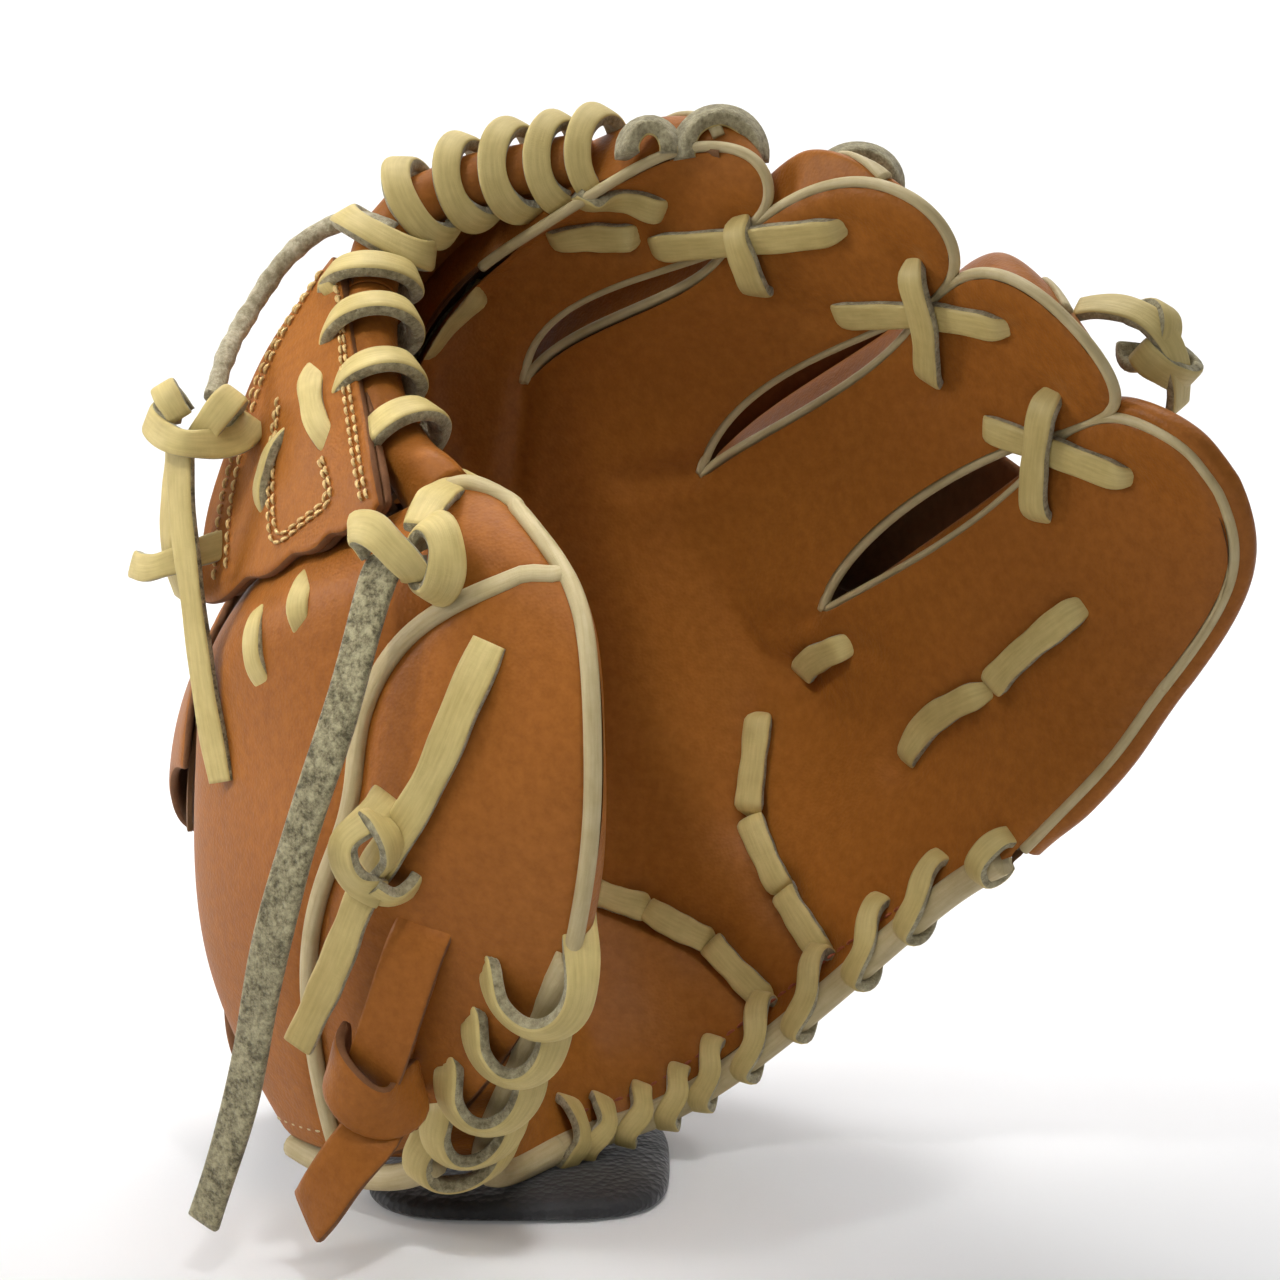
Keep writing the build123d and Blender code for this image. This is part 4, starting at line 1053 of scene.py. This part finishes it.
def loose_laces():
    out = (-0.45, -0.9, 0.05)
    tail_lace("long_lace_tail", "long_tail", "long_tail",
              LONG_TAIL, [out] * len(LONG_TAIL), 7.8, False)
    tail_lace("back_lace_tail", "back_tail", "back_tail",
              [(-70, -2, 169), (-70, -5, 158), (-69, -7, 144), (-66, -9, 119), (-62, -12, 98)],
              [(-0.5, -0.85, 0)] * 5, 6.2, True)
    pile = Pile()
    lace(pile, [(-8, -22, 164), (-12, -34, 164), (-15, -44, 163), (-17, -51, 159)],
         [(0.2, -0.5, 0.8), (0, -0.6, 0.8), (0, -0.8, 0.6), (-0.2, -1, 0.2)], 6.6)
    hoop(pile, (-14.5, -54, 153.5), unit((0.62, -0.75, -0.1)) * 5.2, unit((0.1, 0, 1)) * 7.0, -175, 175,
         flare=(-0.45, -0.35, 0), width=7.4)
    lace(pile, [(-27, -50, 155), (-29.5, -53, 159), (-26, -57, 160), (-22, -59, 157), (-18, -58, 152.5), (-17, -54, 150)],
         [(-1, 0, 0.3), (-0.7, -0.7, 0.5), (-0.2, -1, 0.4), (-0.1, -1, 0.2), (-0.1, -1, 0), (0, -0.8, -0.6)], 6.8)
    stands_for(pile.build("thumb_tip_knot", [GRAIN, EDGE]), "thumb", "web_knot_lace")
    pile = Pile()
    centre = np.array(REAR.at(6.35, 4.9)) + (2, 4, 13)
    hoop(pile, centre, unit((0.5, -0.85, 0)) * 5.4, unit((0.3, 0, 1)) * 6.0, -160, 165, flare=(0.4, 0, 0.2))
    hoop(pile, centre + (3, -2, -5), unit((-0.6, -0.8, 0)) * 5.0, unit((0.8, 0, -0.6)) * 5.5, -60, 190)
    lace(pile, [centre + (-14, 4, 5), centre + (-8, 0, 6), centre + (0, -5, 3), centre + (5, -4, -6), centre + (6, 0, -14)],
         [(0, -0.5, 0.9), (0, -0.6, 0.8), (0.4, -0.9, 0.4), (0.7, -0.7, 0), (0.7, -0.7, 0)])
    stands_for(pile.build("little_tip_knot", [GRAIN, EDGE]), "fingers", "fingertip_knot")


# ---- web ----------------------------------------------------------------------------------------
HALVES = {"thumb": (0.0, 0.5), "finger": (0.5, 1.0)}


def roll_frame(share):
    """Unit vectors at the roll: along it, down into the web, and square to both."""
    share = np.asarray(share, float)
    along = unit(WEB.at((share + 0.004) * WEB_STEPS, 0 * share) - WEB.at((share - 0.004) * WEB_STEPS, 0 * share))
    down = WEB.at(share * WEB_STEPS, 0 * share + 0.4) - WEB.at(share * WEB_STEPS, 0 * share)
    down = unit(down - along * np.sum(down * along, axis=-1, keepdims=True))
    return along, down, np.cross(along, down)


def roll_share(length):
    """Share of the roll at a length in mm from its thumb end."""
    share = np.linspace(0, 1, 400)
    run = np.linalg.norm(np.diff(WEB.at(share * WEB_STEPS, 0 * share), axis=0), axis=1)
    return np.interp(length, np.concatenate([[0], np.cumsum(run)]), share)


def web_lower_row(share):
    """Scalloped lower edge of the web's panel."""
    wave = np.abs(np.sin(share * np.pi * 9))
    return 1.72 + 0.10 * wave


def web_half(half):
    start, stop = HALVES[half]
    body = "web_" + half
    low = max(start, 0.14) if half == "thumb" else start
    high = min(stop, 0.93)
    share = blend(low, high, np.linspace(0, 1, 34))
    row = np.linspace(0, 1, 26)[:, None]
    v = blend(0.12, web_lower_row(share)[None], row)
    u = np.broadcast_to(share * WEB_STEPS, v.shape)
    inward = WEB.normal(u, v)
    grid = WEB.at(u, v) - inward * (0.5 + 1.5 * np.sin(np.pi * row))[..., None]
    stands_for(shell(body + "_hide", grid, -inward, 3.2, TAN, TAN), body, "web_panel_" + half)
    roll = Pile()
    share = np.linspace(max(start, 0.0), min(stop, 0.985), 60)
    path = WEB.at(share * WEB_STEPS, 0 * share)
    cuff = 1 + 0.42 * smooth((0.13 - share) / 0.10) + 0.03 * np.sin(share * 60)
    sweep(roll, path, roll_frame(share)[1], section(2 * ROLL, 2 * ROLL, 20, 0.95), cuff, False)
    stands_for(roll.build(body + "_rolled_edge", [TAN]), body, "web_roll_" + half)
    wound = Pile()
    for turn in range(10):
        spot = float(roll_share(20.0 + 15.8 * turn - 0.4 * turn**2))
        if not start <= spot < stop:
            continue
        along, down, out = roll_frame(spot)
        size = ROLL + 2.6 + rng.uniform(-0.3, 0.5)
        slant = 0.75 * smooth((spot - 0.40) / 0.35)
        axis = unit(along - (0, slant, 0))
        first = unit(down - axis * np.dot(down, axis)) * size
        second = np.cross(axis, unit(first)) * size * (1 + 0.2 * slant)
        hoop(wound, WEB.at(spot * WEB_STEPS, 0.0) - down * 0.8, first, second, 5, 355,
             flare=along * (0.35 + 0.5 * slant), width=7.6 - 1.6 * spot, shift=along * 5.0, thick=3.3)
    stands_for(wound.build(body + "_spiral", [GRAIN, EDGE]), body, "web_spiral_" + half)


def web_flap():
    """Hide that closes the web over the thumb's back, with its sewn tongue and laced slots."""
    a, b = np.meshgrid(np.linspace(0, 2, 40), np.linspace(0, 1, 44))
    v = b * (4.86 + 0.14 * np.abs(np.sin(a * np.pi * 2.5)))
    puff = 1.2 + 0.9 * np.sin(np.pi * a / 2)
    body = "web_thumb"
    inward = OVERLAY.normal(a, v)
    side = np.sign((inward[20, 20] @ (0.5, 0.8, 0)))
    inward = inward * side
    for name, depth, trim, hide in (("web_flap_hide", 0.0, 0.0, 2.6), ("web_flap_backing", 3.0, 0.12, 2.0)):
        edge = v * (1 - 0.02 * trim / 0.12)
        grid = OVERLAY.at(a, edge) - inward * (puff - depth)[..., None]
        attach(shell(name, grid, -inward, hide, TAN if depth == 0 else TAN_EDGE, LINING), body)
    sew = Pile()

    def seam(u, v):
        out = -OVERLAY.normal(u, v) * side
        stitches(sew, OVERLAY.at(u, v) + out * (puff_at(u) + 0.15)[:, None], out, 2.9, 2.1, 0.38)

    def puff_at(u):
        return 1.2 + 0.9 * np.sin(np.pi * np.asarray(u) / 2)

    for inset in (0.16, 0.26):
        v_side = np.linspace(0.35, 4.75, 120)
        seam(2 - inset - 0.08 * smooth((1.5 - v_side) / 1.5), v_side)
        seam(inset - 0.02 + 0 * v_side, v_side)
    for inset in (0.0, 0.09):
        ring_u = np.array([1.36, 1.36, 1.34, 1.05, 0.72, 0.66, 0.70])
        ring_v = np.array([2.3, 3.5, 4.55, 4.50, 4.30, 3.8, 3.3])
        run = fair(np.stack([ring_u * 10, ring_v * 10, 0 * ring_u], 1), 0.15) / 10
        middle = np.array([1.03, 3.4])
        seam(blend(run[:, 0], middle[0], inset * 1.6), blend(run[:, 1], middle[1], inset * 1.1))
    stands_for(sew.build("web_flap_stitching", [THREAD]), body)
    pile = Pile()
    for (u0, v0), (u1, v1), width, lean in (((1.24, 2.55), (1.52, 4.15), 4.6, -0.7), ((0.88, 1.70), (0.60, 3.30), 5.4, 0.5),
                                            ((0.76, 0.42), (0.70, 0.85), 4.0, 0.0)):
        u, v = blend(u0, u1, np.linspace(0, 1, 5)), blend(v0, v1, np.linspace(0, 1, 5))
        out = -OVERLAY.normal(u, v) * side
        path = OVERLAY.at(u, v) + out * np.array([-2.5, 2.2, 3.0, 2.2, -2.5])[:, None]
        lace(pile, path, unit(out + (lean, 0, 0)), width, taper=0.6)
    lace(pile, [(-37, -18, 147), (-42, -28, 143), (-43, -31, 138), (-41, -29, 133)], (-0.3, -0.8, 0.4), 5.0)
    lace(pile, [(-50, -12, 138), (-53, -20, 134), (-53, -23, 126), (-49, -22, 119)], (-0.7, -0.7, 0.1), 5.4)
    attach(pile.build("web_flap_lacing", [GRAIN, EDGE]), body)


def web_back_ties():
    """Soft round cord and knot behind the web."""
    pile = Pile()
    cord = [(-27, 22, 211), (-35, 26, 213), (-44, 28, 210), (-52, 28, 203), (-58, 24, 194), (-62, 14, 186), (-64, 5, 177)]
    run = fair(cord, 1.0)
    wave = np.linspace(0, 1, len(run))
    lump = 1 + 0.06 * np.sin(wave * 40) + 0.05 * np.sin(wave * 91)
    cord = Pile()
    sweep(cord, run, np.broadcast_to((0.3, -0.6, 0.7), run.shape), section(4.2, 3.9, 14, 0.9), lump, False)
    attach(cord.build("web_back_cord", [CORD]), "web_thumb")
    lace(pile, [(-72, 10, 174), (-77, 3, 173), (-72, -5, 170), (-66, -6, 169), (-59, -1, 169), (-56, 6, 172)],
         [(-1, 0, 0.2), (-0.8, -0.6, 0.2), (-0.2, -1, 0.2), (0, -1, 0.2), (0.2, -1, 0.3), (0.4, -0.8, 0.4)], 6.2)
    hoop(pile, (-63, 1, 173), (0, -5.0, 1), unit((0.6, 0, 0.8)) * 6.5, -90, 220, width=6.2)
    hoop(pile, (-71, 1, 175), (0, -3.6, 0.6), unit((-0.5, 0, 0.85)) * 5.5, -20, 190, width=5.6)
    lace(pile, [(-74, 12, 168), (-73, 4, 160), (-74, 4, 146), (-72, 8, 134)], (-0.8, -0.6, 0), 6.0)
    lace(pile, [(-82, 7, 141), (-77, -1, 142), (-68, -2, 145), (-60, 4, 147)], (-0.2, -0.95, 0.2), 5.8)
    lace(pile, [(-61, 0, 122), (-58, -4, 116), (-56, -6, 110)], (-0.3, -0.9, 0.2), 4.6)
    stands_for(pile.build("web_back_tie", [GRAIN, EDGE]), "web_thumb", "web_back_lace")


# ---- back and wrist -----------------------------------------------------------------------------
def back_opening(u):
    """Row of the edge over the hand's opening, higher beside the thumb."""
    return 1.45 + 0.45 * smooth((3.0 - u) / 0.9)


def back_hides():
    u, share = np.meshgrid(np.linspace(2.08, 6.95, 60), np.linspace(0, 1, 22))
    v = blend(back_opening(u), 3.08, share)
    lift = 1.0 + 0.8 * np.abs(np.sin((u - 3) * np.pi)) * smooth((v - 2.0) / 1.0)
    panel = shell("back_hide", REAR.lift(u, v, lift), -REAR.normal(u, v))
    stands_for(panel, "palm", "back_panel")
    u, v = np.meshgrid(np.linspace(6.05, 6.70, 14), np.linspace(0.72, 1.42, 12))
    stands_for(shell("back_side_hide", REAR.lift(u, v, 0.6), -REAR.normal(u, v)), "palm", "back_side_panel")
    pile = Pile()
    u = np.linspace(3.1, 6.8, 80)
    tube(pile, REAR.lift(u, back_opening(u), 0.3), -REAR.normal(u, back_opening(u)), 2.4, 1.4)
    stands_for(pile.build("back_opening_binding", [TRIM]), "palm", "back_welt")
    sew = Pile()
    for inset in (0.17, 0.25):
        v = back_opening(u) + inset
        stitches(sew, REAR.lift(u, v, 1.3), -REAR.normal(u, v))
    stands_for(sew.build("back_stitching", [THREAD]), "palm")


def wrist():
    u, v = np.meshgrid(np.linspace(2.95, 6.42, 54), np.linspace(0.06, 0.62, 12))
    grid = REAR.lift(u, v, 0.5 + 1.2 * np.sin(np.pi * (v - 0.06) / 0.56))
    stands_for(shell("wrist_strap_hide", grid, -REAR.normal(u, v), 3.0), "wrist_strap", "wrist_strap")
    sew = Pile()
    u = np.linspace(3.02, 6.35, 90)
    for v0 in (0.12, 0.56):
        v = v0 + 0 * u
        stitches(sew, REAR.lift(u, v, 0.9), -REAR.normal(u, v))
    stands_for(sew.build("wrist_strap_stitching", [THREAD]), "wrist_strap")


def wrist_pad():
    """Black padded lining, flat underneath and crowned on top."""
    low, high = (np.array(corner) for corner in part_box("wrist_lining_pad"))
    half = (high - low)[:2] / 2 / MM
    tall = (high - low)[2] / MM
    rings, segments = [], 48
    angle = np.linspace(0, 2 * np.pi, segments, endpoint=False)
    c, s = np.cos(angle), np.sin(angle)
    outline = np.stack([np.sign(c) * np.abs(c)**0.55 * half[0], np.sign(s) * np.abs(s)**0.55 * half[1]], 1)
    for share, z in ((0.90, 0.0), (0.985, 0.5), (1.0, 2.2), (0.97, 4.2), (0.88, tall), (0.5, tall + 0.6), (0.05, tall + 0.7)):
        rings.append(np.column_stack([outline * share, np.full(segments, z)]))
    points = np.vstack(rings) + ORIGIN + ((low + high) / 2 / MM * (1, 1, 0))
    faces = grid_faces(len(rings), segments, wrap=True)
    faces += [tuple(range(segments))[::-1], tuple((len(rings) - 1) * segments + i for i in range(segments))]
    piece = mesh_object("wrist_pad", points, faces, [BLACK], subdivide=1)
    stands_for(piece, "palm", "wrist_lining_pad")


# ---- the glove ----------------------------------------------------------------------------------
def pocket_hides():
    """The pocket's hides, baked in place of the palm shell and the thumb's front; they are not bent where the glove
    flexes.
    """
    palm = palm_leather()
    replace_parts(bend_with_fingers(palm), "palm_shell")
    thumb = thumb_leather()
    point, axis = axis_of("thumb_close")
    across = unit(np.cross(axis, (1, 0, 0)))
    across = across * -np.sign(across[1])
    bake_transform(thumb)
    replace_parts(thumb, "thumb_front")


def studio():
    """White sweep of paper, soft light from the upper left, camera at the glove's three-quarter front."""
    def paper(nodes, link, shader):
        tone = noise(nodes, link, rest_position(nodes), 2.0, 2, 0.5)
        link(ramp(nodes, link, tone, [(0.3, (0.88, 0.88, 0.89)), (0.7, (0.92, 0.92, 0.92))]), shader.inputs["Base Color"])
        shader.inputs["Roughness"].default_value = 0.6
        shader.inputs["Emission Color"].default_value = (1, 1, 1, 1)
        link(ranged(nodes, link, nodes.new("ShaderNodeLightPath").outputs["Is Camera Ray"], 0.0, 0.06),
             shader.inputs["Emission Strength"])
    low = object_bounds()[0].z
    side, front, back, radius = 3.0, -3.0, 1.0, 0.6
    turn = np.linspace(0, np.pi / 2, 16)
    profile = [(front, low)] + [(back + radius * math.sin(t), low + radius * (1 - math.cos(t))) for t in turn]
    profile.append((back + radius, low + 4.0))
    points = [(x, y, z) for y, z in profile for x in (-side, side)]
    faces = [(2 * i, 2 * i + 1, 2 * i + 3, 2 * i + 2) for i in range(len(profile) - 1)]
    data = bpy.data.meshes.new("paper_sweep")
    data.from_pydata(points, [], faces)
    data.materials.append(material("pale_paper", paper))
    data.polygons.foreach_set("use_smooth", [True] * len(faces))
    sweep_paper = bpy.data.objects.new("paper_sweep", data)
    bpy.context.collection.objects.link(sweep_paper)
    sweep_paper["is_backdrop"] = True
    world = bpy.data.worlds.new("studio")
    world.use_nodes = True
    world.node_tree.nodes["Background"].inputs["Color"].default_value = (1.0, 1.0, 1.0, 1)
    world.node_tree.nodes["Background"].inputs["Strength"].default_value = 0.22
    bpy.context.scene.world = world
    for name, spot, size, power in (("key", (-1.25, 0.06, 0.52), 0.45, 7.6), ("top", (-0.15, 0.45, 1.25), 0.6, 5.0),
                                    ("front", (-0.30, -1.00, 0.70), 0.4, 0.8),
                                    ("snoot", (-0.40, -0.42, 0.80), 0.16, 0.04), ("heel", (0.20, -0.60, 1.10), 0.12, 0.023), ("wall", (0.2, 0.5, 1.4), 1.6, 20.0)):
        light = bpy.data.lights.new(name, "AREA")
        light.energy = power
        light.size = size
        lamp = bpy.data.objects.new(name, light)
        lamp.location = spot
        light.spread = math.radians({"snoot": 12, "heel": 10}.get(name, 180))
        target = {"wall": (0.2, 1.5, 0.5), "snoot": (-0.045, -0.035, 0.165), "heel": (0.0, -0.04, 0.03)}.get(name, (0, 0, 0.1))
        lamp.rotation_euler = to_euler(np.array(target) - spot)
        bpy.context.collection.objects.link(lamp)
    camera = bpy.data.cameras.new("camera")
    camera.lens = 85.8
    camera.sensor_width = 36.0
    camera.clip_start = 0.01
    eye = bpy.data.objects.new("camera", camera)
    elevation, distance = math.radians(12.0), 0.650
    target = place((26.0, 0.0, 126.0))
    eye.location = target + distance * np.array((0, -math.cos(elevation), math.sin(elevation)))
    eye.rotation_euler = (math.pi / 2 - elevation, 0, 0)
    bpy.context.collection.objects.link(eye)
    bpy.context.scene.camera = eye
    bpy.context.scene.view_settings.view_transform = "Standard"


def to_euler(aim):
    return Vector(aim).to_track_quat("-Z", "Y").to_euler()


def glove():
    pocket_hides()
    fingers()
    hidden_parts()
    thumb_outside()
    thumb_sole()
    bindings()
    palm_laces()
    heel_laces()
    ladder()
    finger_laces()
    thumb_ties()
    thumb_loop()
    loose_laces()
    for half in HALVES:
        web_half(half)
    web_flap()
    web_back_ties()
    back_hides()
    wrist()
    wrist_pad()


glove()
studio()
